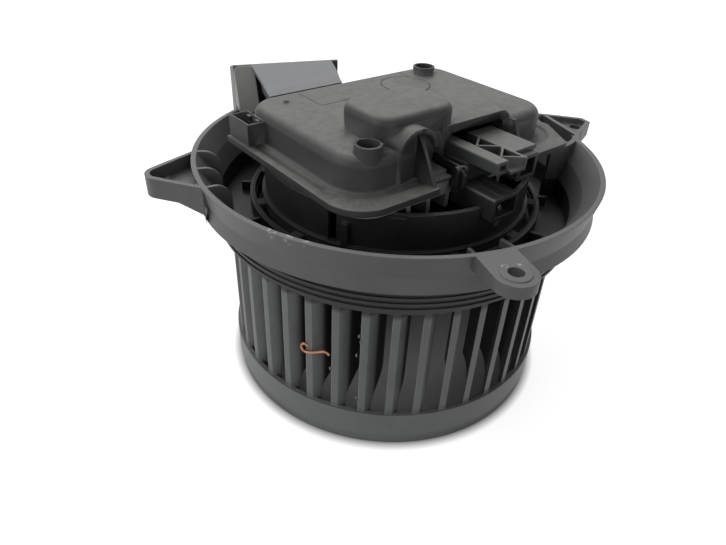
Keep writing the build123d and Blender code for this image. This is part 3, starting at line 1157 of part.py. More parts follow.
# Electronics cover: flange, body, raised block, screw bosses, clip box and connector tunnel
mouth_middle_x = (TUNNEL_LEFT_X + TUNNEL_RIGHT_X) / 2
recess_middle_x = (RECESS_LEFT_X + RECESS_RIGHT_X) / 2
lip_middle_x = (MOUTH_LEFT_X + MOUTH_RIGHT_X) / 2
with BuildPart() as electronics_cover:
    with BuildSketch(control.offset(FLANGE_TOP)):
        add(rounded(BODY_HALF_X, BODY_HALF_Y, BODY_CORNER_R))
    extrude(amount=BODY_TOP - FLANGE_TOP)
    with BuildSketch(control.offset(FLANGE_TOP)):
        with Locations((recess_middle_x, -BODY_HALF_Y)):
            Rectangle(RECESS_RIGHT_X - RECESS_LEFT_X, 2 * (BODY_HALF_Y + RECESS_BACK_Y))
    extrude(amount=BODY_TOP - FLANGE_TOP, mode=Mode.SUBTRACT)
    fillet(electronics_cover.faces().sort_by(Axis.Z)[-1].edges(), BODY_EDGE_R)
    with BuildSketch(control.offset(BLOCK_BOTTOM)):
        with Locations((BLOCK_X, BLOCK_Y)):
            RectangleRounded(BLOCK_SIZE_X, BLOCK_SIZE_Y, BLOCK_CORNER_R)
    extrude(amount=BLOCK_TOP - BLOCK_BOTTOM)
    fillet(electronics_cover.faces().sort_by(Axis.Z)[-1].edges(), BLOCK_EDGE_R)
    with BuildSketch(control.offset(flange_bottom)):
        add(rounded(FLANGE_HALF_X, FLANGE_HALF_Y, FLANGE_CORNER_R))
        with BuildLine():
            Polyline(
                (-FLANGE_HALF_X, CLIP_BOX_Y + CLIP_BOX_LENGTH / 2),
                (-BODY_HALF_X - EASY, CLIP_BOX_Y + CLIP_BOX_LENGTH / 2),
                (-BODY_HALF_X - EASY, FLANGE_HALF_Y),
                (-FLANGE_HALF_X, FLANGE_HALF_Y),
                close=True,
            )
        make_face(mode=Mode.SUBTRACT)
        with BuildLine():
            Polyline(
                (FLANGE_HALF_X - FLANGE_CHAMFER_X, -FLANGE_HALF_Y),
                (FLANGE_HALF_X, -FLANGE_HALF_Y),
                (FLANGE_HALF_X, -FLANGE_HALF_Y + FLANGE_CHAMFER_Y),
                close=True,
            )
        make_face(mode=Mode.SUBTRACT)
    extrude(amount=FLANGE_THICKNESS)
    with BuildSketch(control.offset(FLANGE_TOP)):
        add(rounded(BODY_HALF_X + GROOVE_GAP + GROOVE_WIDTH, BODY_HALF_Y + GROOVE_GAP + GROOVE_WIDTH,
                    BODY_CORNER_R + GROOVE_GAP + GROOVE_WIDTH))
        add(rounded(BODY_HALF_X + GROOVE_GAP, BODY_HALF_Y + GROOVE_GAP, BODY_CORNER_R + GROOVE_GAP),
            mode=Mode.SUBTRACT)
    extrude(amount=-GROOVE_DEPTH, mode=Mode.SUBTRACT)
    with BuildSketch(control.offset(flange_bottom)):
        add(rounded(BODY_HALF_X - COVER_WALL, BODY_HALF_Y - COVER_WALL, BODY_CORNER_R - COVER_WALL))
        with Locations((recess_middle_x, -BODY_HALF_Y)):
            Rectangle(RECESS_RIGHT_X - RECESS_LEFT_X + 2 * COVER_WALL,
                      2 * (BODY_HALF_Y + RECESS_BACK_Y + COVER_WALL), mode=Mode.SUBTRACT)
    extrude(amount=BODY_TOP - COVER_WALL - flange_bottom, mode=Mode.SUBTRACT)
    with BuildSketch(control.offset(flange_bottom)):
        with Locations((BLOCK_X, BLOCK_Y + COVER_WALL / 2)):
            RectangleRounded(BLOCK_SIZE_X - 2 * COVER_WALL, BLOCK_SIZE_Y - 3 * COVER_WALL,
                             BLOCK_CORNER_R - COVER_WALL)
    extrude(amount=BLOCK_TOP - COVER_WALL - flange_bottom, mode=Mode.SUBTRACT)
    with BuildSketch(control.offset(flange_bottom)):
        with Locations(*COVER_BOSSES):
            Circle(COVER_BOSS_R)
    extrude(amount=COVER_BOSS_TOP - flange_bottom)
    with BuildSketch(control.offset(COVER_SCREW_SEAT)):
        with Locations(*COVER_BOSSES):
            Circle(COVER_BOSS_BORE_R)
    extrude(amount=COVER_BOSS_TOP - COVER_SCREW_SEAT, mode=Mode.SUBTRACT)
    with BuildSketch(control.offset(flange_bottom)):
        with Locations(*COVER_BOSSES):
            Circle(COVER_SCREW_R + EASY)
    extrude(amount=COVER_SCREW_SEAT - flange_bottom, mode=Mode.SUBTRACT)
    with BuildSketch(control.offset(flange_bottom)):
        with Locations((mouth_middle_x, -FLANGE_HALF_Y)):
            Rectangle(TUNNEL_RIGHT_X - TUNNEL_LEFT_X, 2 * (FLANGE_HALF_Y + RECESS_BACK_Y))
    extrude(amount=FLANGE_THICKNESS, mode=Mode.SUBTRACT)
    with BuildSketch(front_plane(LIP_FRONT_Y)):
        with Locations((lip_middle_x, (HEADER_TOP + EASY + MOUTH_TOP + LIP_WIDTH) / 2)):
            RectangleRounded(MOUTH_RIGHT_X - MOUTH_LEFT_X + 2 * LIP_WIDTH,
                             MOUTH_TOP + LIP_WIDTH - HEADER_TOP - EASY, MOUTH_CORNER_R + LIP_WIDTH / 2)
    extrude(amount=LIP_FRONT_Y - RECESS_BACK_Y - COVER_WALL)
    with BuildSketch(front_plane(LIP_FRONT_Y)):
        with Locations((lip_middle_x, (flange_bottom + MOUTH_TOP) / 2)):
            RectangleRounded(MOUTH_RIGHT_X - MOUTH_LEFT_X, MOUTH_TOP - flange_bottom, MOUTH_CORNER_R)
        with Locations((lip_middle_x, flange_bottom + MOUTH_CORNER_R / 2)):
            Rectangle(MOUTH_RIGHT_X - MOUTH_LEFT_X, MOUTH_CORNER_R)
    extrude(amount=LIP_FRONT_Y - RECESS_BACK_Y - COVER_WALL - SLIP, mode=Mode.SUBTRACT)
    with BuildSketch(front_plane(ARCH_FRONT_Y)):
        with Locations((ARCH_X, ARCH_TOP - ARCH_HALF_WIDTH)):
            Circle(ARCH_HALF_WIDTH)
        with Locations((ARCH_X, (FLANGE_TOP + ARCH_TOP - ARCH_HALF_WIDTH) / 2)):
            Rectangle(2 * ARCH_HALF_WIDTH, ARCH_TOP - ARCH_HALF_WIDTH - FLANGE_TOP)
        with Locations((ARCH_X, ARCH_TOP - ARCH_HALF_WIDTH)):
            Circle(ARCH_HALF_WIDTH - ARCH_BAND, mode=Mode.SUBTRACT)
        with Locations((ARCH_X + ARCH_BAND, ARCH_RIGHT_FOOT)):
            Rectangle(2 * ARCH_HALF_WIDTH, 2 * ARCH_RIGHT_FOOT, align=(Align.CENTER, Align.MAX), mode=Mode.SUBTRACT)
    extrude(amount=ARCH_FRONT_Y - BLOCK_Y + BLOCK_SIZE_Y / 2 - ARCH_BAND)
    with BuildSketch(front_plane(ARCH_FRONT_Y + ARCH_BAND)):
        with Locations((ARCH_X, ARCH_TOP - ARCH_HALF_WIDTH)):
            Circle(ARCH_HALF_WIDTH - ARCH_BAND / 2)
        with Locations((ARCH_X - ARCH_HALF_WIDTH + ARCH_BAND / 2, board_top + EASY)):
            Rectangle(WEB_X - ARCH_X + ARCH_HALF_WIDTH, ARCH_TOP - ARCH_HALF_WIDTH - board_top - EASY,
                      align=(Align.MIN, Align.MIN))
    extrude(amount=ARCH_FRONT_Y + ARCH_BAND - RECESS_BACK_Y - COVER_WALL / 2)
    for x, front, top in ((WEB_X, WEB_FRONT_Y, ARCH_TOP - ARCH_BAND), (SIDE_FIN_X, SIDE_FIN_FRONT_Y, SIDE_FIN_TOP)):
        with BuildSketch(side_plane(x)):
            with BuildLine():
                Polyline(
                    (front, flange_bottom),
                    (front, FLANGE_TOP),
                    (-BODY_HALF_Y, top),
                    (RECESS_BACK_Y - COVER_WALL, top),
                    (RECESS_BACK_Y, FLANGE_TOP),
                    (RECESS_BACK_Y, flange_bottom),
                    close=True,
                )
            make_face()
        extrude(amount=WEB_THICKNESS / 2, both=True)
    with BuildSketch(control.offset(flange_bottom)):
        with Locations((CLIP_BOX_X, CLIP_BOX_Y)):
            Rectangle(CLIP_BOX_WIDTH, CLIP_BOX_LENGTH)
    extrude(amount=CLIP_BOX_TOP - flange_bottom)
    with BuildSketch(control.offset(FLANGE_TOP)):
        with Locations((CLIP_BOX_X, CLIP_BOX_Y)):
            Rectangle(CLIP_BOX_WIDTH - 2 * CLIP_BOX_WALL, CLIP_BOX_LENGTH - 2 * CLIP_BOX_WALL)
    extrude(amount=CLIP_BOX_TOP - FLANGE_TOP, mode=Mode.SUBTRACT)
    with BuildSketch(control.offset(BODY_TOP)):
        with Locations(LABEL_FIELD_CENTRE):
            Rectangle(LABEL_FIELD_X, LABEL_FIELD_Y)
            Rectangle(LABEL_FIELD_X - 2 * MARK_WIDTH, LABEL_FIELD_Y - 2 * MARK_WIDTH, mode=Mode.SUBTRACT)
        with Locations(MARK_RING_CENTRE):
            Circle(MARK_RING_R)
            Circle(MARK_RING_R - MARK_WIDTH, mode=Mode.SUBTRACT)
    extrude(amount=-MARK_DEPTH, mode=Mode.SUBTRACT)
    with BuildSketch(control.offset(BODY_TOP)):
        with Locations(PIP_CENTRE):
            Circle(PIP_R)
    extrude(amount=PIP_HEIGHT)
save(electronics_cover, "electronics_cover")

# Cover screws, sunk in the cover's bosses
with BuildPart() as cover_screws:
    with BuildSketch(control.offset(flange_bottom - COVER_SCREW_GRIP + EASY)):
        with Locations(*COVER_BOSSES):
            Circle(COVER_SCREW_R)
    extrude(amount=COVER_SCREW_SEAT - flange_bottom + COVER_SCREW_GRIP - EASY)
    with BuildSketch(control.offset(COVER_SCREW_SEAT)):
        with Locations(*COVER_BOSSES):
            Circle(2 * COVER_SCREW_R)
    extrude(amount=SCREW_HEAD_HEIGHT)
    with BuildSketch(control.offset(COVER_SCREW_SEAT + SCREW_HEAD_HEIGHT)):
        with Locations(*COVER_BOSSES):
            RegularPolygon(COVER_SCREW_R, 6)
    extrude(amount=-SCREW_HEAD_HEIGHT / 2, mode=Mode.SUBTRACT)
save(cover_screws, "cover_screws")

# Housing screws: down through the plate into the housing's bosses
with BuildPart() as housing_screws:
    with BuildSketch(Plane.XY.offset(plate_top - HOUSING_SCREW_LENGTH)):
        with housing_screw_spots:
            Circle(HOUSING_SCREW_R)
    extrude(amount=HOUSING_SCREW_LENGTH)
    with BuildSketch(Plane.XY.offset(plate_top)):
        with housing_screw_spots:
            Circle(2 * HOUSING_SCREW_R)
    extrude(amount=SCREW_HEAD_HEIGHT)
save(housing_screws, "housing_screws")

# Connector header: block on the plate, socket in front of it, side socket and latch loop
second_middle_x = (SECOND_LEFT_X + SECOND_RIGHT_X) / 2
shroud_width = SHROUD_RIGHT_X - HEADER_LEFT_X
shroud_height = SHROUD_TOP - SHROUD_BOTTOM
second_width = SECOND_RIGHT_X - SECOND_LEFT_X
second_height = SECOND_TOP - SECOND_BOTTOM
with BuildPart() as connector_header:
    with BuildSketch(front_plane(HEADER_STEP_Y)):
        with Locations(((HEADER_LEFT_X + HEADER_RIGHT_X) / 2, (header_bottom + HEADER_TOP) / 2)):
            Rectangle(HEADER_RIGHT_X - HEADER_LEFT_X, HEADER_TOP - header_bottom)
    extrude(amount=HEADER_STEP_Y - HEADER_BACK_Y)
    with BuildSketch(front_plane(SHROUD_FRONT_Y)):
        with Locations((shroud_middle_x, (SHROUD_TOP + SHROUD_BOTTOM) / 2)):
            RectangleRounded(shroud_width, shroud_height, SHROUD_EDGE_R)
    extrude(amount=SHROUD_FRONT_Y - neck_back_y)
    with BuildSketch(front_plane(SHROUD_FRONT_Y)):
        with Locations((shroud_middle_x, (SHROUD_TOP + SHROUD_BOTTOM) / 2)):
            Rectangle(shroud_width - 2 * SHROUD_WALL, shroud_height - 2 * SHROUD_WALL)
    extrude(amount=-SHROUD_DEPTH, mode=Mode.SUBTRACT)
    with BuildSketch(front_plane(SHROUD_FRONT_Y)):
        with Locations((shroud_middle_x, SHROUD_TOP)):
            with GridLocations(SHROUD_GROOVE_PITCH, 0, SHROUD_GROOVE_COUNT, 1):
                Rectangle(SHROUD_GROOVE_WIDTH, 2 * SHROUD_GROOVE_DEPTH)
    extrude(amount=-(HEADER_STEP_Y - SHROUD_FRONT_Y), mode=Mode.SUBTRACT)
    with BuildSketch(front_plane(SECOND_FRONT_Y)):
        with Locations((second_middle_x, (SECOND_TOP + SECOND_BOTTOM) / 2)):
            RectangleRounded(second_width, second_height, SHROUD_EDGE_R)
    extrude(amount=SECOND_FRONT_Y - HEADER_STEP_Y)
    with BuildSketch(front_plane(SECOND_FRONT_Y)):
        with Locations((second_middle_x, (SECOND_TOP + SECOND_BOTTOM) / 2)):
            Rectangle(second_width - 2 * SHROUD_WALL, second_height - 2 * SHROUD_WALL)
    extrude(amount=SECOND_FRONT_Y - HEADER_STEP_Y, mode=Mode.SUBTRACT)
    with BuildSketch(side_plane(HEADER_LEFT_X)):
        with Locations((HEADER_STEP_Y, (header_bottom + HEADER_TOP) / 2)):
            RectangleRounded(LATCH_LENGTH, HEADER_TOP - header_bottom, LATCH_CORNER_R)
            RectangleRounded(LATCH_LENGTH - 2 * LATCH_BAR, HEADER_TOP - header_bottom - 2 * LATCH_BAR,
                             LATCH_CORNER_R / 2, mode=Mode.SUBTRACT)
    extrude(amount=-LATCH_BAR)
    for x in terminal_xs:
        with BuildSketch(side_plane(x)):
            add(terminal_outline(SLIP))
        extrude(amount=PIN_WIDTH / 2 + SLIP, both=True, mode=Mode.SUBTRACT)
save(connector_header, "connector_header")

# Connector guide: hollow bar, V ribs and plate, moulded on one foot that lies on the header
bar_middle_x = BAR_LEFT_X + BAR_WIDTH / 2
code_plate_middle_x = (CODE_PLATE_LEFT_X + CODE_PLATE_RIGHT_X) / 2
truss_left_x = BAR_LEFT_X + BAR_WIDTH
truss_right_x = CODE_PLATE_LEFT_X + TRUSS_THICKNESS / 2
truss_step = (TRUSS_BACK_Y - TRUSS_FRONT_Y) / TRUSS_COUNT
with BuildPart() as connector_guide:
    with BuildSketch(front_plane(HEADER_STEP_Y)):
        with Locations(((BAR_LEFT_X + CODE_PLATE_RIGHT_X) / 2, HEADER_TOP + GUIDE_FOOT / 2)):
            Rectangle(CODE_PLATE_RIGHT_X - BAR_LEFT_X, GUIDE_FOOT)
    extrude(amount=HEADER_STEP_Y - HEADER_BACK_Y)
    with BuildSketch(front_plane(BAR_FRONT_Y)):
        with Locations((bar_middle_x, bar_bottom + BAR_HEIGHT / 2)):
            RectangleRounded(BAR_WIDTH, BAR_HEIGHT, BAR_EDGE_R)
            Rectangle(BAR_WIDTH - 2 * BAR_WALL, BAR_HEIGHT - 2 * BAR_WALL, mode=Mode.SUBTRACT)
    extrude(amount=BAR_FRONT_Y - BAR_BACK_Y)
    with BuildSketch(control.offset(bar_bottom)):
        with Locations(((truss_left_x + CODE_PLATE_LEFT_X) / 2, (TRUSS_FRONT_Y + TRUSS_BACK_Y) / 2)):
            Rectangle(CODE_PLATE_LEFT_X - truss_left_x + TRUSS_THICKNESS, TRUSS_BACK_Y - TRUSS_FRONT_Y)
    extrude(amount=TRUSS_THICKNESS)
    with BuildSketch(control.offset(bar_bottom)):
        for n in range(TRUSS_COUNT):
            y = TRUSS_FRONT_Y + n * truss_step
            with BuildLine():
                Polyline(
                    (truss_left_x - TRUSS_THICKNESS / 2, y + truss_step / 2),
                    (truss_right_x, y),
                    (truss_right_x, y + TRUSS_THICKNESS),
                    (truss_left_x + TRUSS_THICKNESS / 2, y + truss_step / 2),
                    (truss_right_x, y + truss_step - TRUSS_THICKNESS),
                    (truss_right_x, y + truss_step),
                    close=True,
                )
            make_face()
    extrude(amount=BAR_HEIGHT)
    with BuildSketch(control.offset(bar_bottom)):
        with Locations((CODE_PLATE_LEFT_X + TRUSS_THICKNESS / 2, (TRUSS_FRONT_Y + TRUSS_BACK_Y) / 2)):
            Rectangle(TRUSS_THICKNESS, TRUSS_BACK_Y - TRUSS_FRONT_Y)
    extrude(amount=BAR_HEIGHT)
    with BuildSketch(control.offset(SECOND_TOP)):
        with Locations((code_plate_middle_x, (CODE_PLATE_FRONT_Y + HEADER_BACK_Y) / 2)):
            Rectangle(CODE_PLATE_RIGHT_X - CODE_PLATE_LEFT_X, HEADER_BACK_Y - CODE_PLATE_FRONT_Y)
    extrude(amount=guide_top - SECOND_TOP)
    with BuildSketch(control.offset(HEADER_TOP)):
        with Locations((code_plate_middle_x, (HEADER_STEP_Y + HEADER_BACK_Y) / 2)):
            Rectangle(CODE_PLATE_RIGHT_X - CODE_PLATE_LEFT_X, HEADER_BACK_Y - HEADER_STEP_Y)
    extrude(amount=SECOND_TOP - HEADER_TOP)
save(connector_guide, "connector_guide")
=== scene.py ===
# %% [markdown]
# # Cabin blower motor
# The object is a fan wheel that hangs under a moulded dish, with its motor and control unit on
# top. The solid pieces come packed from CAD, so this lesson dresses them: it sets the camera and
# the studio, gives every piece a finish made of nodes, and models the small pieces that the CAD
# leaves out.

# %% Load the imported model
from math import cos, pi, radians, sin

import bpy
from mathutils import Matrix, Vector


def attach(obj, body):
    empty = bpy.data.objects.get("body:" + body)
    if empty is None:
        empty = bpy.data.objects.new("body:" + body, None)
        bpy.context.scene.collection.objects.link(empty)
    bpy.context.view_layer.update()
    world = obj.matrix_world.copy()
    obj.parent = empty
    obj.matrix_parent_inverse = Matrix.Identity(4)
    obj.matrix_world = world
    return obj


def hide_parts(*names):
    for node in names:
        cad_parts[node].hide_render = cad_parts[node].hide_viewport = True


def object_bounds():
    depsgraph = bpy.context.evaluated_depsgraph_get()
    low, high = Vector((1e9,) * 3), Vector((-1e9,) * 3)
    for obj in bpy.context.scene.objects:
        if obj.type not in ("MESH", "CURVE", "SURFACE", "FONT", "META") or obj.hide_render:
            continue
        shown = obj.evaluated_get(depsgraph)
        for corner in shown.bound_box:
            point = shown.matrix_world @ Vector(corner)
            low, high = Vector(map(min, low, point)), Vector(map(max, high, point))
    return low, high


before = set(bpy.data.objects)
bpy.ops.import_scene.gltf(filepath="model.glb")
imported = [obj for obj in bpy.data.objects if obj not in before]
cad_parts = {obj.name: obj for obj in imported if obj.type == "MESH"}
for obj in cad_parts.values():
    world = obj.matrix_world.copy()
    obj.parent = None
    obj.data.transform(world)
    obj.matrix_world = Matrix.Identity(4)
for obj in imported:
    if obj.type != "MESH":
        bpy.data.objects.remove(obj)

MM = 0.001
WHITE = (1, 1, 1, 1)
LEVEL = (1, 1, 0)
cad_low, cad_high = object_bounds()
print("CAD box, mm:", [round(v / MM, 1) for v in (*cad_low, *cad_high)])

# %% [markdown]
# ## Camera
# The photograph was taken from the front left, a little above the object, with a short lens. The
# place and the three angles were worked out once from the round edges of the wheel and the dish.
# Yaw turns the view from +Y towards +X, pitch tips it down, and roll turns it about its own axis.

# %% Camera
PHOTO_WIDTH = 726
FOCAL_PIXELS = 586.06
SENSOR_WIDTH = 36.0
CAMERA_PLACE = Vector((-96.49, -220.87, 117.07)) * MM
CAMERA_YAW = 0.3612
CAMERA_PITCH = 0.6122
CAMERA_ROLL = 0.0485

camera_data = bpy.data.cameras.new("photo_view")
camera_data.sensor_width = SENSOR_WIDTH
camera_data.lens = SENSOR_WIDTH * FOCAL_PIXELS / PHOTO_WIDTH
camera_data.clip_start = 0.01
camera = bpy.data.objects.new("photo_view", camera_data)
bpy.context.scene.collection.objects.link(camera)
camera.matrix_world = (
    Matrix.Translation(CAMERA_PLACE)
    @ Matrix.Rotation(-CAMERA_YAW, 4, "Z")
    @ Matrix.Rotation(pi / 2 - CAMERA_PITCH, 4, "X")
    @ Matrix.Rotation(CAMERA_ROLL, 4, "Z")
)
bpy.context.scene.camera = camera
bpy.context.scene.view_settings.view_transform = "Standard"
print("Lens, mm:", round(camera_data.lens, 2))

# %% [markdown]
# ## Studio
# Dark plastic shows its shape by the light on its level faces, so the widest lamp hangs above and
# behind the object and weaker ones stand round it. The lamps and a dim world light the object. The
# white round it is for looks: the world is white, and the floor glows, only for the rays that the
# camera, the glossy faces and clear ones send out. For all other rays the world is dim and the floor
# doesn't glow. The glow starts beside the wheel's foot, so the floor under it keeps the shadow.

# %% Lamps
def add_lamp(name, place, size, power):
    """A square area lamp that faces the object's middle."""
    lamp_data = bpy.data.lights.new(name, "AREA")
    lamp_data.size = size
    lamp_data.energy = power
    lamp = bpy.data.objects.new(name, lamp_data)
    lamp.location = place
    lamp.rotation_euler = Vector(place).to_track_quat("Z", "Y").to_euler()
    bpy.context.scene.collection.objects.link(lamp)


LAMPS = [
    ("back_lamp", (0.1, 0.7, 1.1), 1.2, 11),
    ("left_lamp", (-1.1, -0.1, 0.5), 0.8, 8),
    ("shoulder_lamp", (-0.6, 0.3, 1.0), 0.8, 2),
    ("front_lamp", (0.05, -1.15, 0.25), 0.6, 3),
]
for lamp_name, lamp_place, lamp_size, lamp_power in LAMPS:
    add_lamp(lamp_name, lamp_place, lamp_size, lamp_power)
print("Lamps:", len(LAMPS))


# %% Rays that see the white
def white_rays(nodes, links):
    """A factor that is 1 for camera, glossy and transmission rays, and 0 for the others."""
    path = nodes.new("ShaderNodeLightPath")
    glossy = nodes.new("ShaderNodeMath")
    glossy.operation = "MAXIMUM"
    links.new(path.outputs["Is Camera Ray"], glossy.inputs[0])
    links.new(path.outputs["Is Glossy Ray"], glossy.inputs[1])
    clear = nodes.new("ShaderNodeMath")
    clear.operation = "MAXIMUM"
    links.new(glossy.outputs["Value"], clear.inputs[0])
    links.new(path.outputs["Is Transmission Ray"], clear.inputs[1])
    return clear.outputs["Value"]


# %% World
WORLD_LIGHT = 0.2
world = bpy.data.worlds.new("studio")
bpy.context.scene.world = world
world.use_nodes = True
world_nodes = world.node_tree.nodes
world_links = world.node_tree.links
world_nodes.clear()
world_out = world_nodes.new("ShaderNodeOutputWorld")
world_mix = world_nodes.new("ShaderNodeMixShader")
world_dim = world_nodes.new("ShaderNodeBackground")
world_dim.inputs["Color"].default_value = WHITE
world_dim.inputs["Strength"].default_value = WORLD_LIGHT
world_white = world_nodes.new("ShaderNodeBackground")
world_white.inputs["Color"].default_value = WHITE
world_white.inputs["Strength"].default_value = 1.0
world_links.new(white_rays(world_nodes, world_links), world_mix.inputs["Fac"])
world_links.new(world_dim.outputs["Background"], world_mix.inputs[1])
world_links.new(world_white.outputs["Background"], world_mix.inputs[2])
world_links.new(world_mix.outputs["Shader"], world_out.inputs["Surface"])

# %% Floor
FLOOR_SIZE = 6.0
FLOOR_GAP = 0.2
FLOOR_GREY = 0.35
FLOOR_GLOW = 0.85
GLOW_FROM_R = 0.074
GLOW_FULL_R = 0.079
bpy.ops.object.select_all(action="DESELECT")
bpy.ops.mesh.primitive_plane_add(size=FLOOR_SIZE, location=(0, 0, 0))
floor = bpy.context.object
floor.name = "floor"
bpy.ops.object.mode_set(mode="EDIT")
bpy.ops.transform.translate(value=(0, 0, cad_low[2] - FLOOR_GAP * MM))
bpy.ops.object.mode_set(mode="OBJECT")
floor_finish = bpy.data.materials.new("floor_white")
floor_finish.use_nodes = True
floor_nodes = floor_finish.node_tree.nodes
floor_links = floor_finish.node_tree.links
floor_shader = floor_nodes["Principled BSDF"]
floor_shader.inputs["Base Color"].default_value = (FLOOR_GREY, FLOOR_GREY, FLOOR_GREY, 1)
floor_shader.inputs["Roughness"].default_value = 0.9
floor_shader.inputs["Specular IOR Level"].default_value = 0.0
floor_shader.inputs["Emission Color"].default_value = WHITE
floor_place = floor_nodes.new("ShaderNodeTexCoord")
floor_radius = floor_nodes.new("ShaderNodeVectorMath")
floor_radius.operation = "LENGTH"
flatten = floor_nodes.new("ShaderNodeVectorMath")
flatten.operation = "MULTIPLY"
flatten.inputs[1].default_value = LEVEL
floor_links.new(floor_place.outputs["Object"], flatten.inputs[0])
floor_links.new(flatten.outputs["Vector"], floor_radius.inputs[0])
open_floor = floor_nodes.new("ShaderNodeMapRange")
open_floor.inputs["From Min"].default_value = GLOW_FROM_R
open_floor.inputs["From Max"].default_value = GLOW_FULL_R
open_floor.inputs["To Max"].default_value = FLOOR_GLOW
floor_links.new(floor_radius.outputs["Value"], open_floor.inputs["Value"])
floor_glow = floor_nodes.new("ShaderNodeMath")
floor_glow.operation = "MULTIPLY"
floor_links.new(white_rays(floor_nodes, floor_links), floor_glow.inputs[0])
floor_links.new(open_floor.outputs["Result"], floor_glow.inputs[1])
floor_links.new(floor_glow.outputs["Value"], floor_shader.inputs["Emission Strength"])
floor.data.materials.append(floor_finish)

# %% [markdown]
# ## Moulded plastic
# Nearly every face is moulded plastic with a fine spark-eroded grain. The grain is a small noise
# that only bumps the surface, and a larger noise changes the grey and the gloss a little, as
# handling does. A Bevel node rounds the look of the sharp CAD edges, and where its normal turns
# away from the face it also brightens them, a painted highlight. On the faces that look up, the
# upward part of the normal mixes in a pale grey, in patches: partly dust, partly painted light
# from above.

# %% Small helpers for nodes
def map_range(nodes, links, value, low, high, to_low=0.0, to_high=1.0):
    """A Map Range node that turns low..high into to_low..to_high; returns its output."""
    ranged = nodes.new("ShaderNodeMapRange")
    ranged.inputs["From Min"].default_value = low
    ranged.inputs["From Max"].default_value = high
    ranged.inputs["To Min"].default_value = to_low
    ranged.inputs["To Max"].default_value = to_high
    links.new(value, ranged.inputs["Value"])
    return ranged.outputs["Result"]


def noise_at(nodes, links, place, scale, detail=2.0, roughness=0.5):
    """A Noise Texture on a place, with its scale per metre; returns its grey."""
    noise = nodes.new("ShaderNodeTexNoise")
    noise.inputs["Scale"].default_value = scale
    noise.inputs["Detail"].default_value = detail
    noise.inputs["Roughness"].default_value = roughness
    links.new(place, noise.inputs["Vector"])
    return noise.outputs["Fac"]


def combine(nodes, links, operation, first, second):
    """A Math node on two values, either of which may be a number; returns its output."""
    math_node = nodes.new("ShaderNodeMath")
    math_node.operation = operation
    for socket, value in zip(math_node.inputs, (first, second)):
        if isinstance(value, (int, float)):
            socket.default_value = value
        else:
            links.new(value, socket)
    return math_node.outputs["Value"]


def mix_colour(nodes, links, factor, first, second):
    """A colour mix; second is a plain linear colour. Returns its output."""
    mixed = nodes.new("ShaderNodeMix")
    mixed.data_type = "RGBA"
    mixed.inputs["B"].default_value = (*second, 1)
    links.new(first, mixed.inputs["A"])
    links.new(factor, mixed.inputs["Factor"])
    return mixed.outputs["Result"]


# %% A plastic finish
# The pale grey on upward faces is partly dust and partly painted light from above.
DUST_AND_TOPLIGHT_COLOUR = (0.150, 0.150, 0.143)
SCUFF_COLOUR = (0.42, 0.42, 0.41)
EDGE_RADIUS = 0.5
BUMP_DEPTH = 0.1
MOTTLE = 0.18
MOTTLE_SCALE = 45
MOTTLE_GREYS = (0.3, 0.7)
GLOSS_SPREAD = 0.06
DUST_AND_TOPLIGHT_SCALE = 260
DUST_AND_TOPLIGHT_GREYS = (0.25, 0.65)
DUST_AND_TOPLIGHT_FACING = (0.55, 0.97)
# Turn of the Bevel normal over which the edges get a painted highlight.
EDGE_HIGHLIGHT_TURN = (0.995, 0.80)
SCRATCH_SCALE = 900
SCRATCH_GREYS = (0.50, 0.60)
# Share of the colour that is kept in the painted shadow.
PAINTED_SHADOW_SHARE = 0.08
# Share of the colour that is kept in the painted shade towards the axis.
PAINTED_SHADE_SHARE = 0.12


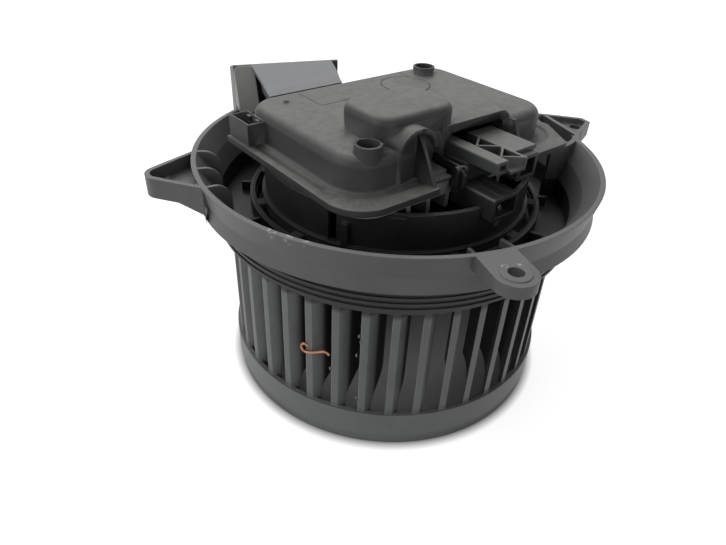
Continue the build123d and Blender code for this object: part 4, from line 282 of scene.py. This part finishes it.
def moulded_plastic(name, colour, roughness, grain=0.35, grain_size=0.35, edge=0.45,
                    sheen=0.4, dust_and_toplight=0.35, painted_shadow_from=None, painted_shade_r=None, scuffs=()):
    """Plastic with a moulded grain; colour is linear and grain_size is in mm.
    painted_shadow_from is a pair of heights in mm: from the first to the second it turns nearly black,
    a painted shadow.
    painted_shade_r is a pair of distances from the axis in mm: inwards from the first to the second
    the plastic darkens, a painted shade.
    scuffs are places with a radius, in mm, that carry pale scratches."""
    finish = bpy.data.materials.new(name)
    finish.use_nodes = True
    nodes = finish.node_tree.nodes
    links = finish.node_tree.links
    shader = nodes["Principled BSDF"]
    shader.inputs["Specular IOR Level"].default_value = sheen
    place = nodes.new("ShaderNodeTexCoord").outputs["Object"]
    fine = noise_at(nodes, links, place, 1 / (grain_size * MM))
    broad = noise_at(nodes, links, place, MOTTLE_SCALE, detail=5, roughness=0.65)

    rounded = nodes.new("ShaderNodeBevel")
    rounded.samples = 4
    rounded.inputs["Radius"].default_value = EDGE_RADIUS * MM
    bump = nodes.new("ShaderNodeBump")
    bump.inputs["Strength"].default_value = grain
    bump.inputs["Distance"].default_value = BUMP_DEPTH * MM
    links.new(fine, bump.inputs["Height"])
    links.new(rounded.outputs["Normal"], bump.inputs["Normal"])
    links.new(bump.outputs["Normal"], shader.inputs["Normal"])

    base = nodes.new("ShaderNodeVectorMath")
    base.operation = "SCALE"
    base.inputs[0].default_value = colour
    mottled = map_range(nodes, links, broad, *MOTTLE_GREYS, 1 - MOTTLE, 1 + MOTTLE)
    links.new(mottled, base.inputs["Scale"])
    painted = base.outputs["Vector"]

    # Upward faces mix in a pale grey in patches: partly dust, partly painted light from above.
    geometry = nodes.new("ShaderNodeNewGeometry")
    facing = nodes.new("ShaderNodeSeparateXYZ")
    links.new(geometry.outputs["Normal"], facing.inputs["Vector"])
    upward = map_range(nodes, links, facing.outputs["Z"], *DUST_AND_TOPLIGHT_FACING)
    dust_and_toplight_noise = noise_at(nodes, links, place, DUST_AND_TOPLIGHT_SCALE, detail=6, roughness=0.7)
    patches = map_range(nodes, links, dust_and_toplight_noise, *DUST_AND_TOPLIGHT_GREYS, 0.4 * dust_and_toplight, dust_and_toplight)
    dust_and_toplight_mask = combine(nodes, links, "MULTIPLY", upward, patches)
    painted = mix_colour(nodes, links, dust_and_toplight_mask, painted, DUST_AND_TOPLIGHT_COLOUR)

    # Painted highlight: where the Bevel normal turns away from the face, the edge colour is lightened.
    turned = nodes.new("ShaderNodeVectorMath")
    turned.operation = "DOT_PRODUCT"
    links.new(rounded.outputs["Normal"], turned.inputs[0])
    links.new(geometry.outputs["Normal"], turned.inputs[1])
    edge_highlight_mask = map_range(nodes, links, turned.outputs["Value"], *EDGE_HIGHLIGHT_TURN, 0.0, edge)
    edge_colour = [min(1, 3.2 * c + 0.02) for c in colour]
    painted = mix_colour(nodes, links, edge_highlight_mask, painted, edge_colour)

    # Painted shadow: past the given heights the plastic turns nearly black, as the shade under the dish
    # rim.
    if painted_shadow_from:
        heights = nodes.new("ShaderNodeSeparateXYZ")
        links.new(place, heights.inputs["Vector"])
        black = map_range(nodes, links, heights.outputs["Z"], *[z * MM for z in painted_shadow_from])
        painted = mix_colour(nodes, links, black, painted, [c * PAINTED_SHADOW_SHARE for c in colour])
    # Painted shade: inwards of the given distances from the axis the plastic darkens, as the wheel's
    # unlit inside.
    if painted_shade_r:
        level = nodes.new("ShaderNodeVectorMath")
        level.operation = "MULTIPLY"
        level.inputs[1].default_value = LEVEL
        links.new(place, level.inputs[0])
        reach = nodes.new("ShaderNodeVectorMath")
        reach.operation = "LENGTH"
        links.new(level.outputs["Vector"], reach.inputs[0])
        painted_shade_mask = map_range(nodes, links, reach.outputs["Value"], *[r * MM for r in painted_shade_r])
        painted = mix_colour(nodes, links, painted_shade_mask, painted, [c * PAINTED_SHADE_SHARE for c in colour])
    if scuffs:
        near = 0.0
        for centre, reach in scuffs:
            gap = nodes.new("ShaderNodeVectorMath")
            gap.operation = "DISTANCE"
            gap.inputs[1].default_value = [c * MM for c in centre]
            links.new(place, gap.inputs[0])
            spot = map_range(nodes, links, gap.outputs["Value"], reach * MM, 0.3 * reach * MM)
            near = combine(nodes, links, "MAXIMUM", spot, near)
        scratch_noise = noise_at(nodes, links, place, SCRATCH_SCALE, detail=3)
        scratches = map_range(nodes, links, scratch_noise, *SCRATCH_GREYS)
        scuffed = combine(nodes, links, "MULTIPLY", near, scratches)
        painted = mix_colour(nodes, links, scuffed, painted, SCUFF_COLOUR)
    links.new(painted, shader.inputs["Base Color"])
    uneven = map_range(nodes, links, broad, *MOTTLE_GREYS,
                       roughness - GLOSS_SPREAD, roughness + GLOSS_SPREAD)
    links.new(uneven, shader.inputs["Roughness"])
    return finish


# %% The plastics
CARRIER_SCUFFS = [
    ((-66.0, -53.5, 14.5), 3.0), ((-61.5, -58.5, 14.5), 3.0), ((-57.0, -62.5, 14.5), 2.5),
    ((-46.5, -70.5, 14.5), 1.4), ((-42.0, -73.5, 14.5), 1.2), ((-35.5, -76.5, 14.5), 1.2),
    ((-17.0, -83.5, 14.5), 1.2), ((-97.5, 7.0, 9.5), 2.2), ((-94.5, 2.0, 9.5), 2.2),
    ((-2.0, -94.4, 15.6), 1.5), ((3.6, -94.9, 15.6), 1.5),
]
# The wheel has a painted shadow at its top, under the dish rim, and painted shade towards the axis.
wheel_plastic = moulded_plastic("wheel_plastic", (0.098, 0.101, 0.101), 0.50, dust_and_toplight=0.2,
                                painted_shadow_from=(-21.5, -19.5), painted_shade_r=(70.3, 68.6))
# The carrier has a painted shadow below the rim, on its spigot.
carrier_plastic = moulded_plastic("carrier_plastic", (0.066, 0.067, 0.066), 0.48, dust_and_toplight=0.3,
                                  painted_shadow_from=(0.1, -0.6), scuffs=CARRIER_SCUFFS)
# Painted light: the duct front's grey is a lighter copy of the duct plastic, for the light it catches.
lit_duct_front_plastic = moulded_plastic("lit_duct_front_plastic", (0.150, 0.152, 0.142), 0.50, dust_and_toplight=0.4)
cover_plastic = moulded_plastic("cover_plastic", (0.027, 0.028, 0.027), 0.52, dust_and_toplight=0.72, sheen=0.25)
duct_plastic = moulded_plastic("duct_plastic", (0.078, 0.082, 0.090), 0.40, grain=0.15, dust_and_toplight=0.2)
housing_plastic = moulded_plastic("housing_plastic", (0.014, 0.014, 0.014), 0.42, dust_and_toplight=0.08)
header_plastic = moulded_plastic("header_plastic", (0.012, 0.012, 0.012), 0.38, grain=0.2,
                                 dust_and_toplight=0.08)
guide_plastic = moulded_plastic("guide_plastic", (0.036, 0.041, 0.037), 0.48, dust_and_toplight=0.65)
isolator_rubber = moulded_plastic("isolator_rubber", (0.012, 0.012, 0.012), 0.7, edge=0.2, dust_and_toplight=0.1)
package_epoxy = moulded_plastic("package_epoxy", (0.01, 0.01, 0.01), 0.55, dust_and_toplight=0.05)
clear_sealant = moulded_plastic("clear_sealant", (0.075, 0.075, 0.072), 0.12, grain=0.6, grain_size=0.9,
                                edge=0.0, sheen=0.6, dust_and_toplight=0.0)

# %% [markdown]
# ## Metal
# Turned steel, the cast plate and the copper clip differ in colour, in roughness and in the
# pattern of their tool marks. One function makes them: a stretched noise gives marks along one
# direction, and an even noise gives a cast or dull skin.

# %% A metal finish
TARNISH = 0.25
MARK_DEPTH = 0.05


def metal(name, colour, roughness, marks=(400, 400, 400), depth=0.2):
    """Metal with tool marks; marks are the noise's scales along X, Y and Z, per metre."""
    finish = bpy.data.materials.new(name)
    finish.use_nodes = True
    nodes = finish.node_tree.nodes
    links = finish.node_tree.links
    shader = nodes["Principled BSDF"]
    shader.inputs["Metallic"].default_value = 1.0
    place = nodes.new("ShaderNodeTexCoord").outputs["Object"]
    stretch = nodes.new("ShaderNodeMapping")
    stretch.inputs["Scale"].default_value = marks
    links.new(place, stretch.inputs["Vector"])
    noise = nodes.new("ShaderNodeTexNoise")
    noise.inputs["Scale"].default_value = 1.0
    noise.inputs["Detail"].default_value = 4
    links.new(stretch.outputs["Vector"], noise.inputs["Vector"])
    tint = nodes.new("ShaderNodeMix")
    tint.data_type = "RGBA"
    tint.inputs["A"].default_value = (*colour, 1)
    tint.inputs["B"].default_value = (*[c * (1 - 2 * TARNISH) for c in colour], 1)
    links.new(noise.outputs["Fac"], tint.inputs["Factor"])
    links.new(tint.outputs["Result"], shader.inputs["Base Color"])
    rough = nodes.new("ShaderNodeMapRange")
    rough.inputs["To Min"].default_value = roughness - 0.1
    rough.inputs["To Max"].default_value = roughness + 0.1
    links.new(noise.outputs["Fac"], rough.inputs["Value"])
    links.new(rough.outputs["Result"], shader.inputs["Roughness"])
    bump = nodes.new("ShaderNodeBump")
    bump.inputs["Strength"].default_value = depth
    bump.inputs["Distance"].default_value = MARK_DEPTH * MM
    links.new(noise.outputs["Fac"], bump.inputs["Height"])
    links.new(bump.outputs["Normal"], shader.inputs["Normal"])
    return finish


turned_steel = metal("turned_steel", (0.55, 0.55, 0.54), 0.3, marks=(300, 300, 4000))
drawn_steel = metal("drawn_steel", (0.42, 0.42, 0.42), 0.42, marks=(900, 900, 200))
laminated_steel = metal("laminated_steel", (0.30, 0.30, 0.31), 0.45, marks=(150, 150, 6000),
                        depth=0.6)
cast_alloy = metal("cast_alloy", (0.50, 0.51, 0.52), 0.5, marks=(1500, 1500, 1500), depth=0.4)
can_alloy = metal("can_alloy", (0.6, 0.6, 0.62), 0.35, marks=(200, 200, 200))
winding_copper = metal("winding_copper", (0.16, 0.065, 0.035), 0.45, marks=(300, 300, 3500),
                       depth=0.8)
clip_copper = metal("clip_copper", (0.42, 0.20, 0.12), 0.4, marks=(900, 900, 900))
plated_brass = metal("plated_brass", (0.62, 0.60, 0.55), 0.3, marks=(700, 700, 700))
ferrite = metal("ferrite", (0.10, 0.10, 0.11), 0.6, marks=(1200, 1200, 1200))
board_lacquer = moulded_plastic("board_lacquer", (0.01, 0.07, 0.025), 0.25, grain=0.1, edge=0.1)

# %% [markdown]
# ## Finishes on the CAD pieces
# A CAD piece keeps its mesh, so it only gets the finish in its material slots.

# %% Put the finishes on
FINISHES = {
    "fan_wheel": wheel_plastic,
    "balance_clip": clip_copper,
    "motor_shaft": turned_steel,
    "shaft_circlip": turned_steel,
    "rotor_cup": drawn_steel,
    "rotor_magnets": ferrite,
    "motor_carrier": carrier_plastic,
    "duct_cover": duct_plastic,
    "isolator_ring": isolator_rubber,
    "motor_housing": housing_plastic,
    "bearing_tube": cast_alloy,
    "lower_bearing": turned_steel,
    "upper_bearing": turned_steel,
    "stator_core": laminated_steel,
    "stator_coils": winding_copper,
    "heat_sink": cast_alloy,
    "circuit_board": board_lacquer,
    "power_switches": package_epoxy,
    "capacitors": can_alloy,
    "choke_coil": winding_copper,
    "phase_pins": winding_copper,
    "terminal_pins": plated_brass,
    "electronics_cover": cover_plastic,
    "cover_screws": turned_steel,
    "housing_screws": turned_steel,
    "connector_header": header_plastic,
    "connector_guide": guide_plastic,
}
for node, finish in FINISHES.items():
    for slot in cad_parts[node].material_slots:
        slot.material = finish
print("Finished CAD pieces:", len(FINISHES), "of", len(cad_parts))

# %% [markdown]
# ## Small pieces
# These pieces are added to the solids: the duct's sloping front, the nubs in the clip box, the latch
# and rails of the connector, the bead of sealant and the flakes of flash. Two more stand for a solid:
# the cover with a corner taken off its flange, and the balance clip with its bends. Except for the
# cover, each starts as a primitive and gets its size, place and shape in edit mode or from a curve.
# The control unit is turned on the dish, so what sits on it is made square and then turned with it.

# %% Helpers for small pieces
CONTROL_TURN = radians(19.4)
SHARP_ANGLE = radians(35)


def block(name, low, high):
    """A block between two corners, in mm, with its place in its mesh."""
    bpy.ops.object.select_all(action="DESELECT")
    bpy.ops.mesh.primitive_cube_add(size=1, location=(0, 0, 0))
    piece = bpy.context.object
    piece.name = name
    bpy.ops.object.mode_set(mode="EDIT")
    bpy.ops.transform.resize(value=[(h - l) * MM for l, h in zip(low, high)])
    bpy.ops.transform.translate(value=[(h + l) / 2 * MM for l, h in zip(low, high)])
    bpy.ops.object.mode_set(mode="OBJECT")
    return piece


def pick(piece, wanted):
    """Opens the piece in edit mode with the vertices selected whose place, in mm, is wanted."""
    bpy.ops.object.mode_set(mode="EDIT")
    bpy.ops.mesh.select_mode(type="VERT")
    bpy.ops.mesh.select_all(action="DESELECT")
    bpy.ops.object.mode_set(mode="OBJECT")
    for vertex in piece.data.vertices:
        vertex.select = wanted(vertex.co / MM)
    bpy.ops.object.mode_set(mode="EDIT")


def apply_modifier(piece, kind, **settings):
    """Adds a modifier with its settings and applies it."""
    bpy.ops.object.modifier_add(type=kind)
    modifier = piece.modifiers[-1]
    for setting, value in settings.items():
        setattr(modifier, setting, value)
    bpy.ops.object.modifier_apply(modifier=modifier.name)


def turn_with_control(piece):
    """Turns a piece that was made square by the control unit's angle, into its mesh."""
    piece.rotation_euler.z = CONTROL_TURN
    bpy.ops.object.transform_apply(location=True, rotation=True, scale=True)


def dress(piece, finish, body):
    """Gives a piece its finish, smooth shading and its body."""
    bpy.ops.object.shade_smooth_by_angle(angle=SHARP_ANGLE)
    piece.data.materials.clear()
    piece.data.materials.append(finish)
    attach(piece, body)
    print(piece.name, "faces:", len(piece.data.polygons))


# %% [markdown]
# ### Cover flange beside the connector
# The flange of the electronics cover stops beside the web left of the connector, so that the header
# and its latch lie open. The solid's flange runs on there. A CAD mesh is never changed, so a copy of
# it stands for the node: its doubles are merged, and a Boolean takes the corner away with a block.
# Merging loses the CAD's normals, so the level faces get theirs back by weighting with face area.

# %% Cover shell
CUTTER_LOW = (-23.3, -52.0, 17.0)
CUTTER_HIGH = (-9.7, -42.6, 26.0)
MERGE_DISTANCE = 0.001
SHELL_SHARP_ANGLE = radians(28)


def shell_from(node, name):
    """A copy of a CAD node's mesh as a piece of its own, with its doubles merged."""
    bpy.ops.object.select_all(action="DESELECT")
    shell = bpy.data.objects.new(name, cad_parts[node].data.copy())
    bpy.context.scene.collection.objects.link(shell)
    shell.select_set(True)
    bpy.context.view_layer.objects.active = shell
    bpy.ops.object.mode_set(mode="EDIT")
    bpy.ops.mesh.select_all(action="SELECT")
    bpy.ops.mesh.remove_doubles(threshold=MERGE_DISTANCE * MM)
    bpy.ops.object.mode_set(mode="OBJECT")
    return shell


corner_cutter = block("corner_cutter", CUTTER_LOW, CUTTER_HIGH)
turn_with_control(corner_cutter)
cover_shell = shell_from("electronics_cover", "cover_shell")
apply_modifier(cover_shell, "BOOLEAN", operation="DIFFERENCE", solver="EXACT",
               object=corner_cutter)
bpy.data.objects.remove(corner_cutter)
cover_shell.select_set(True)
bpy.context.view_layer.objects.active = cover_shell
bpy.ops.object.shade_smooth_by_angle(angle=SHELL_SHARP_ANGLE)
apply_modifier(cover_shell, "WEIGHTED_NORMAL", weight=100, keep_sharp=True)
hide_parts("electronics_cover")
dress(cover_shell, cover_plastic, "carrier")

# %% [markdown]
# ### Sloping front of the duct
# Left of its roof plate the duct's front leans back, with a rounded shoulder and a thin lip along
# the plate. A block becomes a wedge when its upper front edge is moved back; its shoulder is an
# edge bevel, and the lip is its right-hand face pulled out and moved forward a little.

# %% Duct front
FRONT_LEAN = 11.6
SHOULDER_R = 2.6
LIP_REACH = 0.9
LIP_FORWARD = 0.5
duct_front = block("duct_front", (-58.45, 57.0, 15.0), (-49.6, 69.3, 33.9))
pick(duct_front, lambda v: v.y < 60 and v.z > 30)
bpy.ops.transform.translate(value=(0, FRONT_LEAN * MM, 0))
pick(duct_front, lambda v: v.x < -58 and v.z > 30)
bpy.ops.mesh.bevel(offset=SHOULDER_R * MM, segments=6, affect="EDGES")
pick(duct_front, lambda v: v.x > -50)
bpy.ops.mesh.extrude_region_move(TRANSFORM_OT_translate={"value": (LIP_REACH * MM, 0, 0)})
pick(duct_front, lambda v: v.x > -49)
bpy.ops.transform.translate(value=(0, -LIP_FORWARD * MM, 0))
bpy.ops.object.mode_set(mode="OBJECT")
apply_modifier(duct_front, "BEVEL", width=0.25 * MM, segments=2, limit_method="ANGLE")
dress(duct_front, lit_duct_front_plastic, "carrier")

# %% [markdown]
# ### Clip box nubs
# Two small nubs stand on the inner wall of the open clip box, to hold what clips in there. Each is
# a block whose lower left edge is drawn in to a wedge, and the second is made like the first.

# %% Nubs
NUB_PLACES = (30.2, 23.6)
NUB_HALF_WIDTH = 1.3
NUB_TAPER = 1.2
for number, nub_y in enumerate(NUB_PLACES, 1):
    nub = block("clip_nub_%d" % number, (-55.4, nub_y - NUB_HALF_WIDTH, 28.6),
                (-53.6, nub_y + NUB_HALF_WIDTH, 31.3))
    pick(nub, lambda v: v.x < -55 and v.z < 30)
    bpy.ops.transform.translate(value=(NUB_TAPER * MM, 0, 0))
    bpy.ops.object.mode_set(mode="OBJECT")
    apply_modifier(nub, "BEVEL", width=0.35 * MM, segments=3, limit_method="ANGLE")
    turn_with_control(nub)
    dress(nub, cover_plastic, "carrier")

# %% [markdown]
# ### Connector latch
# The latch beside the header is made of two upright fingers with rounded heads. A block is cut in
# three each way and narrowed at its foot, its upper front edge is drawn forward and down, and its
# sharp edges are rounded.

# %% Latch fingers
LATCH_FINGERS = [(-11.2, -8.8, -45.6, -43.4), (-7.9, -6.1, -46.4, -44.2)]
for number, (left, right, front, back) in enumerate(LATCH_FINGERS, 1):
    finger = block("latch_finger_%d" % number, (left, front, 15.5), (right, back, 26.2))
    bpy.ops.object.mode_set(mode="EDIT")
    bpy.ops.mesh.select_all(action="SELECT")
    bpy.ops.mesh.subdivide(number_cuts=2)
    pick(finger, lambda v: v.z < 19)
    bpy.ops.transform.resize(value=(0.7, 0.8, 1))
    pick(finger, lambda v: v.z > 25 and v.y < front + 0.1)
    bpy.ops.transform.translate(value=(0, -0.5 * MM, -0.6 * MM))
    bpy.ops.object.mode_set(mode="OBJECT")
    apply_modifier(finger, "BEVEL", width=0.6 * MM, segments=3, limit_method="ANGLE")
    turn_with_control(finger)
    dress(finger, header_plastic, "carrier")

# %% [markdown]
# ### Header rails
# Two rails run along the upper left edge of the header. A block's top is inset evenly, and the inner
# face is pushed down, so that two long rails stand up, joined by a narrow ridge at each end.

# %% Rails
RAIL_WIDTH = 0.9
GROOVE_DEPTH = 1.2
rails = block("header_rails", (-9.3, -45.4, 23.4), (-5.2, -31.6, 26.2))
pick(rails, lambda v: v.z > 26)
bpy.ops.mesh.inset(thickness=RAIL_WIDTH * MM)
bpy.ops.mesh.extrude_region_move(TRANSFORM_OT_translate={"value": (0, 0, -GROOVE_DEPTH * MM)})
bpy.ops.object.mode_set(mode="OBJECT")
apply_modifier(rails, "BEVEL", width=0.2 * MM, segments=2, limit_method="ANGLE")
turn_with_control(rails)
dress(rails, header_plastic, "carrier")

# %% [markdown]
# ### Sealant bead
# A bead of clear sealant runs down the motor housing beside the connector. It is a long drop with
# lumps. A sphere is stretched, its rings are shifted and swollen one by one, and a subdivision makes
# the lumps round.

# %% Bead
BEAD_ANGLE = radians(-69.5)
BEAD_R = 57.9
BEAD_TOP = 13.4
BEAD_BOTTOM = 2.9
BEAD_RINGS = 12
BEAD_DEPTH = 0.9
BEAD_HALF_WIDTH = 1.5
bpy.ops.object.select_all(action="DESELECT")
bpy.ops.mesh.primitive_uv_sphere_add(segments=12, ring_count=BEAD_RINGS, radius=1,
                                     location=(0, 0, 0))
bead = bpy.context.object
bead.name = "sealant_bead"
bpy.ops.object.mode_set(mode="EDIT")
bpy.ops.transform.resize(
    value=(BEAD_DEPTH * MM, BEAD_HALF_WIDTH * MM, (BEAD_TOP - BEAD_BOTTOM) / 2 * MM))
bpy.ops.transform.translate(value=(BEAD_R * MM, 0, (BEAD_TOP + BEAD_BOTTOM) / 2 * MM))
bpy.ops.object.mode_set(mode="OBJECT")
ring_heights = sorted({round(v.co.z / MM, 2) for v in bead.data.vertices})
for number, height in enumerate(ring_heights):
    pick(bead, lambda v: abs(v.z - height) < 0.05)
    swell = 1 + 0.35 * sin(2.3 * number)
    bpy.ops.transform.resize(value=(1, swell, 1))
    bpy.ops.transform.translate(value=(0, 0.55 * sin(1.7 * number + 0.6) * MM, 0))
    bpy.ops.object.mode_set(mode="OBJECT")
apply_modifier(bead, "SUBSURF", levels=1, render_levels=1)
bead.rotation_euler.z = BEAD_ANGLE
bpy.ops.object.transform_apply(location=True, rotation=True, scale=True)
dress(bead, clear_sealant, "carrier")

# %% [markdown]
# ### Flash on the blades
# Some edges of the blade tips still carry small flakes of the mould's flash. One flake is a rough
# pebble, flattened and stretched along the edge; the others
# are copies with their own meshes, turned and moved to their blades.

# %% Flakes
FLAKE_R = 73.75
FLAKE_SIZE = (0.35, 0.42, 1.0)
FLAKES = [(-120.5, -30.6), (-121.0, -40.5), (-129.4, -50.9), (-120.6, -64.0), (-119.9, -33.5)]
bpy.ops.object.select_all(action="DESELECT")
bpy.ops.mesh.primitive_ico_sphere_add(subdivisions=2, radius=1, location=(0, 0, 0))
flake = bpy.context.object
bpy.ops.object.mode_set(mode="EDIT")
bpy.ops.transform.vertex_random(offset=0.18, seed=4)
bpy.ops.transform.resize(value=[v * MM for v in FLAKE_SIZE], center_override=(0, 0, 0))
bpy.ops.transform.translate(value=(FLAKE_R * MM, 0, 0))
bpy.ops.object.mode_set(mode="OBJECT")
for number, (angle, height) in enumerate(FLAKES, 1):
    piece = flake.copy()
    piece.data = flake.data.copy()
    piece.name = "flash_flake_%d" % number
    bpy.context.scene.collection.objects.link(piece)
    piece.rotation_euler.z = radians(angle)
    piece.location.z = height * MM
    bpy.ops.object.select_all(action="DESELECT")
    piece.select_set(True)
    bpy.context.view_layer.objects.active = piece
    bpy.ops.object.transform_apply(location=True, rotation=True, scale=True)
    dress(piece, wheel_plastic, "rotor")
bpy.data.objects.remove(flake)

# %% [markdown]
# ### Balance clip
# The balance clip is a thin copper piece hooked over one blade tip. A path through its bends, with a
# round section, gives its shape; it is made a mesh, and it stands for the clip of the solids.

# %% Clip
CLIP_BENDS = [
    (-136.6, -44.0, 73.0), (-137.0, -42.4, 73.9), (-138.3, -41.6, 74.2), (-139.3, -43.0, 74.3),
    (-139.2, -45.0, 74.3), (-138.0, -46.0, 74.3), (-136.0, -45.3, 74.3), (-133.4, -43.6, 74.3),
    (-131.4, -42.3, 74.2), (-130.4, -42.3, 74.1), (-129.7, -43.6, 73.9),
]
CLIP_SECTION_R = 0.55
bpy.ops.object.select_all(action="DESELECT")
bpy.ops.curve.primitive_nurbs_path_add(location=(0, 0, 0))
clip = bpy.context.object
clip.name = "balance_clip_bent"
clip_line = clip.data.splines[0]
clip_line.points.add(len(CLIP_BENDS) - len(clip_line.points))
for point, (angle, height, reach) in zip(clip_line.points, CLIP_BENDS):
    turn = radians(angle)
    point.co = (reach * MM * cos(turn), reach * MM * sin(turn), height * MM, 1)
clip_line.order_u = 3
clip_line.use_endpoint_u = True
clip.data.bevel_depth = CLIP_SECTION_R * MM
clip.data.bevel_resolution = 3
clip.data.use_fill_caps = True
bpy.ops.object.convert(target="MESH")
clip = bpy.context.object
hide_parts("balance_clip")
dress(clip, clip_copper, "rotor")
